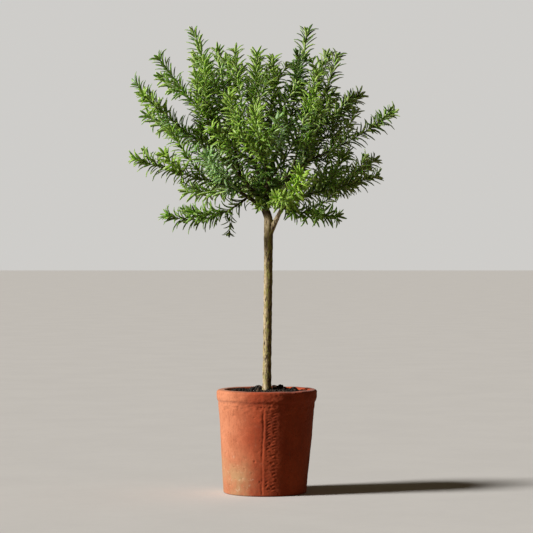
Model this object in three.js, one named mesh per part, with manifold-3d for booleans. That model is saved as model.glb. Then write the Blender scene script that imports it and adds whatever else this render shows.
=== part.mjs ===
// Potted rosemary topiary: a terracotta pot full of potting grit, one slim trunk that forks into boughs,
// and an open, fan-shaped head of needle-leaved shoots. Millimetres, +Z up, +X to the right of the front
// and +Y to the back. The origin is the middle of the pot's flat underside.

import * as THREE from "three";
import { mergeVertices } from "three/addons/utils/BufferGeometryUtils.js";
import Module from "manifold-3d";

const wasm = await Module();
wasm.setup();

// Driving dimensions

const CLEARANCE = 0.3; // between solids that touch

const POT = {
  height: 155,
  footRadius: 62.5,
  shoulderRadius: 72, // just under the rim
  rimRadius: 75,
  rimHeight: 18,
  mouthRadius: 62,
  wellRadius: 50, // of the inside, at its floor
  floor: 12,
  footRound: 3,
  rimRound: 4,
  lean: 3, // how far the rim's middle stands to the right of the foot's
  sides: 40,
};

const SOIL = {
  edge: 150, // height where it meets the wall
  mound: 3,
  bump: 1.6,
  flatRadius: 12, // of the level patch under the trunk
  rings: [52, 38, 24, 12, 0],
  sides: 26,
};

const TRUNK = {
  ground: SOIL.edge + SOIL.mound + CLEARANCE,
  footX: 3,
  flareRadius: 7.8,
  flareHeight: 16,
  stemRadius: 6.5,
  swellHeight: 60, // of the thickening below the fork
  forkHeight: 390,
  forkRadius: 6.9,
  tipHeight: 505,
  tipRadius: 2.2,
  lean: 2.2, // to the right, from the ground to the fork
  sway: 11, // to the left and back again, above the fork
  swayFrom: 408, // the height where it begins
  swayTo: 442, // and where it is full
  depth: 6, // to the back, above the fork
  sides: 8,
  steps: 32,
};

const BOUGH = { rootRadius: 3.7, tipRadius: 1.9, sides: 6, steps: 5 };
const STEM = { rootRadius: 1.9, tipRadius: 1.2, bare: 0.1 };
const SHOOT = {
  rootRadius: 1.1,
  tipRadius: 1.1,
  bare: 0.12, // leafless share
  every: 60, // length of stem for each side shoot
  lowest: 0.24, // share of the stem
  highest: 0.76,
  share: 0.46, // length, against the stem's
  spread: 34, // degrees off the stem, at least
  spreadRange: 16,
  lift: 0.16,
  ceiling: 654, // only stems reach higher
  tries: 9,
};
const NEEDLE = {
  length: 17,
  thickness: 4,
  pitch: 7, // between pairs
  sweep: 5.2, // of the foot of a needle down the shoot
  turn: 22, // degrees more than square, from one pair to the next
  rootAngle: 58, // off the shoot, at its foot
  tipAngle: 30,
  tipLength: 5, // of the bud that ends a shoot
};
const CROWN = { reach: 204, middle: 520, halfHeight: 188, squareness: 2.6 };

const SAMPLE_STEP = 4; // between the points that stand for a limb in tests of distance
const SHOOT_GAP = 13; // from a side shoot to another mass
const SISTER_GAP = 9; // from a side shoot to its own mass
const LIMB_GAP = 6.5; // from a side shoot to a bough or the trunk
const NEEDLE_GAP = NEEDLE.thickness + CLEARANCE + 0.5;

const UP = new THREE.Vector3(0, 0, 1);
const GOLDEN_ANGLE = Math.PI * (3 - Math.sqrt(5));

// Each bough leaves the trunk's axis at a height and ends at an azimuth, a distance out and a height.
// Azimuth 0 is the right of the front, 90 the back. bend lifts the middle of the limb, or lowers it.
const BOUGHS = [
  { name: "right_low", leaves: 386, azimuth: 344, out: 31, top: 442, bend: -1 },
  { name: "left_low", leaves: 430, azimuth: 187, out: 52, top: 459, bend: -3 },
  { name: "front", leaves: 428, azimuth: 272, out: 54, top: 474, bend: -6 },
  { name: "back_left", leaves: 434, azimuth: 122, out: 62, top: 470, bend: -5 },
  { name: "back_right", leaves: 442, azimuth: 50, out: 62, top: 478, bend: -5 },
  { name: "left", leaves: 440, azimuth: 172, out: 56, top: 494, bend: -6 },
  { name: "right", leaves: 452, azimuth: 2, out: 62, top: 498, bend: -6 },
  { name: "top_left", leaves: 466, azimuth: 184, out: 36, top: 536, bend: -8 },
  { name: "top_right", leaves: 478, azimuth: 20, out: 36, top: 552, bend: -8 },
];

// Each mass of foliage grows from one stem that leaves a limb at a share of its length. Its end is an
// azimuth, a reach from the trunk's line and a height. Its first side shoot leaves it at turn, in
// degrees round the stem. The tones are those of LEAF_TONES.
const MASSES = {
  left_trailing: { tone: "mid", on: ["left_low", 0.5], end: [188, 147, 415], bend: -34, turn: 240 },
  left_low: { tone: "bright", on: ["left_low", 1], end: [192, 197, 498], bend: -4, turn: 180 },
  left_front_low: { tone: "cool", on: ["left_low", 0.85], end: [234, 142, 500], bend: -12, turn: 10 },
  left_middle: { tone: "cool", on: ["left", 1], end: [183, 196, 613], bend: -18, turn: 290 },
  left_back_high: { tone: "dark", on: ["left", 0.66], end: [134, 108, 665], bend: -20, turn: 100 },
  left_high: { tone: "mid", on: ["top_left", 0.36], end: [173, 162, 650], bend: -20, turn: 330 },
  top_back: { tone: "mid", on: ["top_left", 0.6], end: [108, 50, 659], bend: -14, turn: 50 },
  top_left_inner: { tone: "bright", on: ["top_left", 0.7], end: [211, 55, 656], bend: -22, turn: 260 },
  top_left: { tone: "cool", on: ["top_left", 1], end: [161, 121, 703], bend: -28, turn: 10 },
  top_middle: { tone: "bright", on: ["trunk", 1], end: [307, 15, 646], bend: 0, turn: 50 },
  top_right: { tone: "dark", on: ["top_right", 1], end: [0, 60, 688], bend: -6, turn: 60 },
  top_right_back: { tone: "dark", on: ["top_right", 0.75], end: [32, 107, 659], bend: -12, turn: 340 },
  right_high: { tone: "dark", on: ["right", 0.8], end: [3, 105, 653], bend: -14, turn: 110 },
  right_front_high: { tone: "bright", on: ["right", 0.62], end: [327, 86, 618], bend: -14, turn: 50 },
  right_middle: { tone: "mid", on: ["right", 1], end: [356, 188, 568], bend: -10, turn: 270 },
  right_back_high: { tone: "dark", on: ["back_right", 0.62], end: [21, 139, 591], bend: -14, turn: 350 },
  right_low: { tone: "mid", on: ["right_low", 1], end: [345, 165, 473], bend: -6, turn: 10 },
  right_back_low: { tone: "mid", on: ["right_low", 0.88], end: [8, 161, 497], bend: -14, turn: 290 },
  right_trailing: { tone: "mid", on: ["right_low", 0.74], end: [325, 122, 414], bend: -6, turn: 270 },
  front_right: { tone: "lime", on: ["right_low", 0.8], end: [292, 130, 471], bend: -16, turn: 80 },
  front_middle: { tone: "bright", on: ["front", 1], end: [262, 120, 556], bend: -14, turn: 60 },
  front_right_high: { tone: "dark", on: ["front", 0.82], end: [297, 124, 556], bend: -16, turn: 0 },
  front_left_high: { tone: "bright", on: ["front", 0.6], end: [236, 98, 588], bend: -14, turn: 100 },
  back_right_low: { tone: "mid", on: ["back_right", 0.82], end: [40, 168, 462], bend: -10, turn: 0 },
  back_right_middle: { tone: "cool", on: ["back_right", 1], end: [62, 154, 566], bend: -14, turn: 0 },
  back_low: { tone: "dark", on: ["back_left", 0.62], end: [92, 172, 480], bend: -14, turn: 60 },
  back_left_low: { tone: "mid", on: ["back_left", 0.8], end: [136, 170, 455], bend: -10, turn: 330 },
  back_left_middle: { tone: "bright", on: ["back_left", 1], end: [122, 158, 574], bend: -14, turn: 220 },
  back_high: { tone: "mid", on: ["trunk", 0.85], end: [82, 104, 632], bend: -18, turn: 140 },
};

const TERRACOTTA = { color: 0xb9603c, roughness: 0.85 };
const GRIT = { color: 0x1d1b1a, roughness: 0.95 };
const BARK = { color: 0x8f8561, roughness: 0.8 };
const LEAF_TONES = { mid: 0x55702f, dark: 0x3a4f26, bright: 0x6f8f3c, cool: 0x66865a, lime: 0x86a63c };
const LEAF_ROUGHNESS = 0.55;

// Small helpers

// The same seed always gives the same run of numbers from 0 to 1.
function draws(seed) {
  let state = Math.imul(seed + 1, 2654435761) >>> 0;
  return () => {
    state = (Math.imul(state, 1664525) + 1013904223) >>> 0;
    return state / 2 ** 32;
  };
}

const smooth = (low, high, value) => THREE.MathUtils.smoothstep(value, low, high);

function place(azimuth, out, height) {
  const angle = THREE.MathUtils.degToRad(azimuth);
  return new THREE.Vector3(TRUNK.footX + out * Math.cos(angle), out * Math.sin(angle), height);
}

function toManifold(geometry) {
  const bare = geometry.clone().deleteAttribute("normal").deleteAttribute("uv");
  const merged = mergeVertices(bare, 1e-4);
  return new wasm.Manifold(
    new wasm.Mesh({
      numProp: 3,
      vertProperties: merged.getAttribute("position").array,
      triVerts: new Uint32Array(merged.index.array),
    }),
  );
}

function toMesh(name, solid, finish) {
  const { vertProperties, triVerts } = solid.getMesh();
  const geometry = new THREE.BufferGeometry()
    .setAttribute("position", new THREE.BufferAttribute(vertProperties, 3))
    .setIndex(new THREE.BufferAttribute(triVerts, 1));
  const mesh = new THREE.Mesh(geometry, new THREE.MeshStandardMaterial({ ...finish, metalness: 0 }));
  mesh.name = name;
  return mesh;
}

const largest = (solid) =>
  solid.decompose().reduce((most, body) => (body.volume() > most.volume() ? body : most));

// Limbs

// A curve that starts and ends at given points, with its middle lifted by bend.
function arch(start, end, bend) {
  const middle = start.clone().lerp(end, 0.5).addScaledVector(UP, bend);
  return new THREE.QuadraticBezierCurve3(start, middle, end);
}

// Two directions square to a tangent.
function across(tangent) {
  const side = new THREE.Vector3(-tangent.y, tangent.x, 0);
  if (side.length() < 1e-3) side.set(1, 0, 0);
  side.normalize();
  return [side, new THREE.Vector3().crossVectors(tangent, side)];
}

// Moves the rings of an upright cylinder onto a curve. offsetOf places each corner from the middle of
// its ring, given the ring's number, the curve's direction, the corner's heading and its angle.
function bent(geometry, curve, steps, offsetOf) {
  const { tangents, normals, binormals } = curve.computeFrenetFrames(steps);
  const position = geometry.getAttribute("position");
  for (let i = 0; i < position.count; i++) {
    const ring = Math.round((position.getY(i) + 0.5) * steps);
    const away = new THREE.Vector2(position.getZ(i), position.getX(i)).normalize();
    const heading = normals[ring].clone().multiplyScalar(away.x).addScaledVector(binormals[ring], away.y);
    const corner = curve.getPointAt(ring / steps).add(offsetOf(ring, tangents[ring], heading, away.angle()));
    position.setXYZ(i, corner.x, corner.y, corner.z);
  }
  return toManifold(geometry);
}

// A round limb with flat ends. grow makes it stand proud of its own surface all round, to cut
// clearance out of a neighbour.
function limbSolid(curve, radiusAt, sides, steps, grow) {
  const geometry = new THREE.CylinderGeometry(1, 1, 1, sides, steps);
  return bent(geometry, curve, steps, (ring, tangent, heading) => {
    const beyond = ring === 0 ? -grow : ring === steps ? grow : 0;
    const radius = radiusAt(ring / steps) + grow / Math.cos(Math.PI / sides);
    return tangent.clone().multiplyScalar(beyond).addScaledVector(heading, radius);
  });
}

// Points along a limb that stand for it in tests of distance.
function samplesOf(curve, radiusAt) {
  const count = Math.ceil(curve.getLength() / SAMPLE_STEP);
  return Array.from({ length: count + 1 }, (_, i) => ({
    point: curve.getPoint(i / count),
    radius: radiusAt(i / count),
  }));
}

const gapTo = (point, samples) =>
  samples.reduce((least, s) => Math.min(least, point.distanceTo(s.point) - s.radius), Infinity);

const distanceTo = (point, samples) =>
  samples.reduce((least, s) => Math.min(least, point.distanceTo(s.point)), Infinity);

const clearOfLimbs = (point, least) =>
  [...limbs.values()].every((limb) => gapTo(point, limb.samples) > least);

class TrunkCurve extends THREE.Curve {
  // The share t of the trunk's height gives the middle of its section there.
  getPoint(t, target = new THREE.Vector3()) {
    const { ground, tipHeight, forkHeight, footX, lean, sway, swayFrom, swayTo, depth } = TRUNK;
    const z = ground + t * (tipHeight - ground);
    const swayed = sway * (smooth(swayTo, tipHeight, z) - smooth(swayFrom, swayTo, z));
    const x = footX + lean * smooth(ground, forkHeight, z) + swayed;
    return target.set(x, depth * smooth(forkHeight, tipHeight, z), z);
  }
}

const trunkCurve = new TrunkCurve();
const trunkShare = (height) => (height - TRUNK.ground) / (TRUNK.tipHeight - TRUNK.ground);

// The trunk spreads at the ground, thickens under the fork and thins above it.
function trunkRadius(t) {
  const { ground, forkHeight, tipHeight, stemRadius, forkRadius } = TRUNK;
  const z = ground + t * (tipHeight - ground);
  const flare = (TRUNK.flareRadius - stemRadius) * (1 - smooth(ground, ground + TRUNK.flareHeight, z));
  const swell = (forkRadius - stemRadius) * smooth(forkHeight - TRUNK.swellHeight, forkHeight, z);
  const taper = (forkRadius - TRUNK.tipRadius) * smooth(forkHeight, tipHeight, z);
  return stemRadius + flare + swell - taper;
}

const radiusOf = (kind) => (t) => THREE.MathUtils.lerp(kind.rootRadius, kind.tipRadius, t);

const limbs = new Map();

function addLimb(name, curve, radiusAt, sides, steps) {
  const solidWith = (grow) => limbSolid(curve, radiusAt, sides, steps, grow);
  limbs.set(name, { curve, solidWith, samples: samplesOf(curve, radiusAt) });
}

addLimb("trunk", trunkCurve, trunkRadius, TRUNK.sides, TRUNK.steps);
for (const { name, leaves, azimuth, out, top, bend } of BOUGHS) {
  const start = trunkCurve.getPoint(trunkShare(leaves));
  addLimb(name, arch(start, place(azimuth, out, top), bend), radiusOf(BOUGH), BOUGH.sides, BOUGH.steps);
}

// Foliage

// A side shoot leaves its stem at an angle and turns up towards the light.
function sideShoot(stem, at, around, spread, length) {
  const tangent = stem.getTangent(at);
  const [side, other] = across(tangent);
  const root = stem.getPoint(at);
  const heading = side.multiplyScalar(Math.cos(around)).addScaledVector(other, Math.sin(around));
  heading.multiplyScalar(Math.sin(spread)).addScaledVector(tangent, Math.cos(spread));
  const elbow = root.clone().addScaledVector(heading, length / 2);
  const tip = root.clone().addScaledVector(heading, length).addScaledVector(UP, SHOOT.lift * length);
  return new THREE.QuadraticBezierCurve3(root, elbow, tip);
}

function insideCrown(point) {
  const out = Math.hypot(point.x - TRUNK.footX, point.y) / CROWN.reach;
  const high = Math.abs(point.z - CROWN.middle) / CROWN.halfHeight;
  return out ** CROWN.squareness + high ** CROWN.squareness < 1;
}

const shootOn = (curve, kind) => ({ curve, kind, samples: samplesOf(curve, radiusOf(kind)) });

// A mass starts as its stem alone, so that every stem is known before any side shoot grows.
const masses = Object.entries(MASSES).map(([name, { tone, on: [limb, at], end, bend, turn }], index) => {
  const curve = arch(limbs.get(limb).curve.getPoint(at), place(...end), bend);
  return { name: `foliage_${name}`, tone, limb, turn, index, shoots: [shootOn(curve, STEM)] };
});

const samplesIn = (shoots) => shoots.flatMap((shoot) => shoot.samples);
const samplesBeside = (mass) => samplesIn(masses.filter((other) => other !== mass).flatMap((m) => m.shoots));

// A side shoot grows only where it stays in the crown, clear of the limbs and of the other masses,
// and doesn't hang, unless its mass is a trailing one.
function shootFits(curve, mass) {
  const hangs = curve.v2.z < curve.v0.z;
  if (curve.v2.z > SHOOT.ceiling || (hangs && !mass.name.endsWith("trailing"))) return false;
  const others = samplesBeside(mass);
  const own = samplesIn(mass.shoots);
  return [0.3, 0.5, 0.7, 0.85, 1].every((t) => {
    const point = curve.getPoint(t);
    return (
      insideCrown(point) &&
      distanceTo(point, others) > SHOOT_GAP &&
      (t < 0.5 || distanceTo(point, own) > SISTER_GAP) &&
      clearOfLimbs(point, LIMB_GAP)
    );
  });
}

function growShoots(mass) {
  const draw = draws(mass.index);
  const stem = mass.shoots[0].curve;
  const length = stem.getLength();
  const count = Math.round(length / SHOOT.every);
  let around = THREE.MathUtils.degToRad(mass.turn);
  for (let i = 0; i < count; i++) {
    const at = THREE.MathUtils.lerp(SHOOT.lowest, SHOOT.highest, (i + draw()) / count);
    const spread = THREE.MathUtils.degToRad(SHOOT.spread + SHOOT.spreadRange * draw());
    const long = length * SHOOT.share * (1.25 - at) * (0.85 + 0.4 * draw());
    for (let attempt = 0; attempt < SHOOT.tries; attempt++) {
      around += GOLDEN_ANGLE;
      const curve = sideShoot(stem, at, around, spread, long);
      if (!shootFits(curve, mass)) continue;
      mass.shoots.push(shootOn(curve, SHOOT));
      break;
    }
  }
}

// A needle is kept where all of it is nearer to its own shoot than to any other, by more where the
// other belongs to another mass, and clear of the limbs.
function needleFits(root, offset, own, sisters, others) {
  return [0.3, 0.65, 1].every((share) => {
    const point = root.clone().addScaledVector(offset, share);
    const near = distanceTo(point, own);
    return (
      distanceTo(point, sisters) > near &&
      distanceTo(point, others) > near + NEEDLE_GAP &&
      clearOfLimbs(point, NEEDLE_GAP / 2)
    );
  });
}

// Turns the diagonals of a tube's faces, so that none of them is a ridge from needle to needle.
function splitBetweenNeedles(geometry, steps) {
  const index = geometry.index.array;
  for (let face = 0; face < 4 * steps; face++) {
    const column = Math.floor(face / steps);
    const row = face % steps;
    if ((column + steps - row) % 2 === 0) continue;
    const [a, b, d, , c] = index.slice(6 * face, 6 * face + 6);
    index.set([a, b, c, a, c, d], 6 * face);
  }
  return geometry;
}

// Where a needle's point stands from the middle of its ring, or nothing if it doesn't fit there.
function needleOffset(root, t, tangent, heading, draw, fits) {
  const angle = THREE.MathUtils.degToRad(THREE.MathUtils.lerp(NEEDLE.rootAngle, NEEDLE.tipAngle, t));
  const length = NEEDLE.length * (0.85 + 0.3 * draw());
  const offset = tangent.clone().multiplyScalar(length * Math.cos(angle));
  offset.addScaledVector(heading, length * Math.sin(angle));
  return fits(root, offset) ? offset : null;
}

// A leafy shoot is a four-cornered tube bent onto its curve, with needles in opposite pairs: on each
// ring two opposite corners are drawn out into points, and each pair is turned from the pair below.
// The other two corners are swept down the shoot, which makes the needles slender.
function shootSolid(shoot, mass, draw) {
  const { curve, kind, samples } = shoot;
  const sisters = samplesIn(mass.shoots.filter((other) => other !== shoot));
  const others = samplesBeside(mass);
  const fits = (root, offset) => needleFits(root, offset, samples, sisters, others);
  const steps = Math.round(curve.getLength() / NEEDLE.pitch);
  const turn = THREE.MathUtils.degToRad(NEEDLE.turn);
  const drawnOut = new Map();
  const geometry = splitBetweenNeedles(new THREE.CylinderGeometry(1, 1, 1, 4, steps), steps);
  return bent(geometry, curve, steps, (ring, tangent, heading, around) => {
    const t = ring / steps;
    const corner = Math.round(around / (Math.PI / 2)) % 4;
    const turned = heading.clone().applyAxisAngle(tangent, ring * turn);
    const low = turned.clone().multiplyScalar(radiusOf(kind)(t));
    if (ring === 0) return low;
    if (ring === steps) return low.multiplyScalar(0.3).addScaledVector(tangent, NEEDLE.tipLength);
    if (ring === steps - 1) return low;
    if ((corner + ring) % 2 !== 0) return low.addScaledVector(tangent, -NEEDLE.sweep);
    if (t < kind.bare) return low;
    const key = 4 * ring + corner;
    if (!drawnOut.has(key))
      drawnOut.set(key, needleOffset(curve.getPointAt(t), t, tangent, turned, draw, fits));
    return drawnOut.get(key) ?? low;
  });
}

function massMesh(mass) {
  const draw = draws(1000 + mass.index);
  const joined = mass.shoots
    .map((shoot) => shootSolid(shoot, mass, draw))
    .reduce((whole, piece) => whole.add(piece));
  const cut = joined.subtract(limbs.get(mass.limb).solidWith(CLEARANCE));
  return toMesh(mass.name, largest(cut), { color: LEAF_TONES[mass.tone], roughness: LEAF_ROUGHNESS });
}

// Pot and soil

// Turns a closed profile of radius and height round the upright.
function turned(profile, sides) {
  const geometry = new THREE.LatheGeometry(profile, sides).rotateX(Math.PI / 2);
  const bare = geometry.deleteAttribute("normal").deleteAttribute("uv");
  return mergeVertices(bare, 1e-3);
}

// Shifts a shape to the right with height, as the pot leans.
function leaned(geometry) {
  const position = geometry.getAttribute("position");
  for (let i = 0; i < position.count; i++)
    position.setX(i, position.getX(i) + (POT.lean * position.getZ(i)) / POT.height);
  return geometry;
}

const wellRadiusAt = (z) =>
  THREE.MathUtils.mapLinear(z, POT.floor, POT.height, POT.wellRadius, POT.mouthRadius);

function potSolid() {
  const { height, footRadius, shoulderRadius, rimRadius, mouthRadius, footRound, rimRound } = POT;
  const band = height - POT.rimHeight;
  const outline = new THREE.Path()
    .moveTo(0, 0)
    .lineTo(footRadius - footRound, 0)
    .quadraticCurveTo(footRadius, 0, footRadius, footRound)
    .lineTo(shoulderRadius, band - rimRound / 2)
    .quadraticCurveTo(rimRadius, band, rimRadius, band + rimRound)
    .lineTo(rimRadius, height - rimRound)
    .quadraticCurveTo(rimRadius, height, rimRadius - rimRound, height)
    .lineTo(mouthRadius + rimRound, height)
    .quadraticCurveTo(mouthRadius, height, wellRadiusAt(height - rimRound), height - rimRound)
    .lineTo(wellRadiusAt(POT.floor), POT.floor)
    .lineTo(0, POT.floor);
  return toManifold(leaned(turned(outline.getPoints(2), POT.sides)));
}

// The grit fills the pot, heaps up towards the trunk and lies level under it.
function soilSolid() {
  const { edge, mound, bump, flatRadius, rings, sides } = SOIL;
  const bed = POT.floor + CLEARANCE;
  const flatOfWall = POT.mouthRadius * (1 - Math.cos(Math.PI / POT.sides));
  const reach = (z) => wellRadiusAt(z) - CLEARANCE - flatOfWall;
  const side = [new THREE.Vector2(0, bed), new THREE.Vector2(reach(bed), bed)];
  const top = rings.map((radius) => new THREE.Vector2(radius, edge + bump));
  const geometry = turned([...side, new THREE.Vector2(reach(edge), edge), ...top], sides);
  const position = geometry.getAttribute("position");
  const draw = draws(2000);
  for (let i = 0; i < position.count; i++) {
    if (position.getZ(i) <= edge) continue;
    const out = Math.hypot(position.getX(i), position.getY(i));
    const lump = out > flatRadius + 1 ? bump * (2 * draw() - 1) : 0;
    position.setZ(i, edge + mound * (1 - smooth(flatRadius, POT.mouthRadius, out)) + lump);
  }
  return toManifold(leaned(geometry));
}

// Assembly

function boughSolid(name) {
  return largest(limbs.get(name).solidWith(0).subtract(limbs.get("trunk").solidWith(CLEARANCE)));
}

masses.forEach(growShoots);

const container = new THREE.Group();
container.add(toMesh("pot", potSolid(), TERRACOTTA), toMesh("soil", soilSolid(), GRIT));

const framework = new THREE.Group();
framework.add(toMesh("trunk", limbs.get("trunk").solidWith(0), BARK));
for (const { name } of BOUGHS)
  framework.add(toMesh(`bough_${name}`, boughSolid(name), BARK));

const crown = new THREE.Group();
for (const mass of masses) crown.add(massMesh(mass));

const topiary = new THREE.Group();
topiary.name = "rosemary_topiary";
topiary.add(container, framework, crown);

export default topiary;
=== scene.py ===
# %% [markdown]
# # A potted rosemary topiary
#
# The real thing is a clay pot of black grit with one slim stem in it. At the top the stem forks into
# boughs, and each bough carries a few long shoots that are set all round with curved needles. This
# lesson makes what the eye sees: it loads the plain solids of the part as a frame, measures them, and
# then puts a finished piece in the place of each one.
#
# Every length is written in millimetres, as in the part's own source, and becomes metres only when a
# mesh is made. Only the limits inside a material are in metres, because a material reads places so.

# %% Load the frame
import math

import bmesh
import bpy
import numpy as np
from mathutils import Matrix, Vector, noise


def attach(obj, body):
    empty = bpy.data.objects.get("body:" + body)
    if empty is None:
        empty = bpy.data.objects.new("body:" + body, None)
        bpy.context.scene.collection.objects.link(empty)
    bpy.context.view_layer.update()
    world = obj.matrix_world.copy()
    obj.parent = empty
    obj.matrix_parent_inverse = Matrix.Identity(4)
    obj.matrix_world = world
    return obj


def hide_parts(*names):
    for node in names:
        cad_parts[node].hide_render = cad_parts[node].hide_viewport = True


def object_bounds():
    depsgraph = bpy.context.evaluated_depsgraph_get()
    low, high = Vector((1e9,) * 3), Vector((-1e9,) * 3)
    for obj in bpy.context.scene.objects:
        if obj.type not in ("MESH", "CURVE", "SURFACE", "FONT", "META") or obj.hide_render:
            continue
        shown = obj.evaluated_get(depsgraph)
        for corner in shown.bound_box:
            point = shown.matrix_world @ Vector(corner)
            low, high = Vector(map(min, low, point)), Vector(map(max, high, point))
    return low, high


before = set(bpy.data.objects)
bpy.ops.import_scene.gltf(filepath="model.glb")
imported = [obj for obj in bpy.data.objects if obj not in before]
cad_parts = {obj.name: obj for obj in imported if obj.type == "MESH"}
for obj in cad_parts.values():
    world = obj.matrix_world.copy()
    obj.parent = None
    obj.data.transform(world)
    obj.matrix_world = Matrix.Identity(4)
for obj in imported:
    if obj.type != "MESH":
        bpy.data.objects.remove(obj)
CAD_BOX = [list(corner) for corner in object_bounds()]
MM = 0.001
print("solids:", len(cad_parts), "box in metres:", CAD_BOX)

# %% [markdown]
# ## The view
#
# The photograph was taken level with the top of the stem, from far off, so that upright lines stay
# upright. A long lens a little over three metres away gives the same perspective. The camera is made
# first, because every test render needs it.

# %% Camera
CAMERA_PLACE = (2.25, -3300, 369.8)
CAMERA_DIP = math.radians(0.534)
LENS = 148.6
SENSOR_WIDTH = 36
SEES_METRES = 60


def put(name, data):
    """A new object in the scene."""
    obj = bpy.data.objects.new(name, data)
    bpy.context.collection.objects.link(obj)
    return obj


camera_data = bpy.data.cameras.new("camera")
camera_data.lens = LENS
camera_data.sensor_width = SENSOR_WIDTH
camera_data.clip_end = SEES_METRES
camera = put("camera", camera_data)
camera.location = Vector(CAMERA_PLACE) * MM
camera.rotation_euler = (math.pi / 2 - CAMERA_DIP, 0, 0)
bpy.context.scene.camera = camera
print("camera", tuple(camera.location), "lens", LENS)

# %% [markdown]
# ## Light and sky
#
# A window stands to the left of the plant, a little in front of it and above, so the left of the pot
# glows and its right is in deep shade. A far lamp with a wide angle stands for the window, and a weak
# warm one from the right for what the room throws back. The sky is plain and pale. It is brighter to
# the camera than to the plant, because a full white sky would wash the shade out. Its nodes are made
# by two helpers that every finish uses later.

# %% Lamps
LAMPS = {
    "key": {"direction": (-1.0, -0.34, 0.49), "strength": 5.4, "angle": 14, "colour": (1.0, 0.955, 0.88)},
    "fill": {"direction": (1.0, -0.5, 0.4), "strength": 0.11, "angle": 60, "colour": (1.0, 0.78, 0.56)},
}


def lamp(name, direction, strength, angle, colour):
    """Adds a far lamp that shines from a direction. A wide angle makes its shadows soft."""
    data = bpy.data.lights.new(name, "SUN")
    data.energy = strength
    data.angle = math.radians(angle)
    data.color = colour
    put(name, data).rotation_euler = (-Vector(direction)).to_track_quat("-Z", "Y").to_euler()


for name, values in LAMPS.items():
    lamp(name, **values)

print("lamps:", list(LAMPS))

# %% Sky
SKY_SEEN = (0.62, 0.61, 0.59)
SKY_GIVEN = (0.040, 0.030, 0.017)


def feed(tree, socket, value):
    """Links a socket to another node's output, or sets it to a number or a colour."""
    if isinstance(value, bpy.types.NodeSocket):
        tree.links.new(value, socket)
    else:
        socket.default_value = (*value, 1) if isinstance(value, tuple) else value


def node_with(tree, kind, inputs, **settings):
    """A new shader node with its settings made and its inputs fed. Gives its outputs."""
    node = tree.nodes.new(f"ShaderNode{kind}")
    for name, value in settings.items():
        setattr(node, name, value)
    for socket, value in inputs.items():
        feed(tree, node.inputs[socket], value)
    return node.outputs


world = bpy.data.worlds.new("sky")
bpy.context.scene.world = world
world.use_nodes = True
sky = world.node_tree
sky.nodes.clear()
looked_at = node_with(sky, "LightPath", {})["Is Camera Ray"]
given, seen = (node_with(sky, "Background", {"Color": colour})[0] for colour in (SKY_GIVEN, SKY_SEEN))
mix = node_with(sky, "MixShader", {0: looked_at, 1: given, 2: seen})
node_with(sky, "OutputWorld", {"Surface": mix[0]})
bpy.context.scene.view_settings.view_transform = "Standard"
print("sky nodes:", len(sky.nodes))

# %% [markdown]
# ## Finishes that more than one surface shares
#
# Clay, bark, grit and leaves all vary in the same two ways: patches a few millimetres across that are
# lighter or darker, and a grain that catches the light. A node group can hold that pattern once. It
# takes two colours and two sizes, and gives back a colour and a height. Each material then sets its
# own numbers, and keeps its own shader. A few small helpers come first. Each makes one kind of node, and
# the finishes below are chains of them.

# %% Node helpers
def maths(tree, operation, a, b, clamp=False):
    """A Math node on two sockets or numbers."""
    return node_with(tree, "Math", {0: a, 1: b}, operation=operation, use_clamp=clamp)[0]


def times(tree, a, b, clamp=False):
    return maths(tree, "MULTIPLY", a, b, clamp)


def plus(tree, a, b, clamp=False):
    return maths(tree, "ADD", a, b, clamp)


def all_but(tree, share):
    """What a share leaves of the whole."""
    return maths(tree, "SUBTRACT", 1.0, share)


def mixed(tree, share, a, b):
    """A colour that goes from a to b as the share grows. Each is a socket or a colour."""
    return node_with(tree, "Mix", {0: share, 6: a, 7: b}, data_type="RGBA")[2]


def noise_of(tree, place, scale, detail, rough=0.6):
    """A Noise Texture's value at a place."""
    inputs = {"Vector": place, "Scale": scale, "Detail": detail, "Roughness": rough}
    return node_with(tree, "TexNoise", inputs)[0]


def drawn_up(tree, place, squeeze):
    """The place with its height squeezed, so that a pattern on it is drawn out upwards."""
    return node_with(tree, "Mapping", {"Vector": place, "Scale": Vector((1, 1, squeeze))})[0]


def axes_of(tree, place):
    """The three numbers of a place, in metres: to the right, away and up."""
    return node_with(tree, "SeparateXYZ", {0: place})


def stepped(tree, value, low, high):
    """0 below low, 1 above high, smooth between."""
    inputs = {"Value": value, "From Min": low, "From Max": high}
    return node_with(tree, "MapRange", inputs, interpolation_type="SMOOTHSTEP")[0]


def layering(tree, place, noises, masks, shares):
    """Three helpers of one finish, which look up what was set for a part of it. The first makes its
    noise, the second makes its mask from a value, and the third lays its colour over another."""
    def grain(part):
        squeeze, *values = noises[part]
        return noise_of(tree, drawn_up(tree, place, squeeze), *values)

    def masked(value, part):
        return stepped(tree, value, *masks[part])

    def over(base, mask, part, colour):
        return mixed(tree, times(tree, mask, shares[part]), base, colour)

    return grain, masked, over


print("node helpers:", [helper.__name__ for helper in (maths, mixed, noise_of, drawn_up, axes_of, stepped)])

# %% The shared pattern
PATCH_SHARE = 0.75
TONE_LIMITS = (0.32, 0.68)

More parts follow.
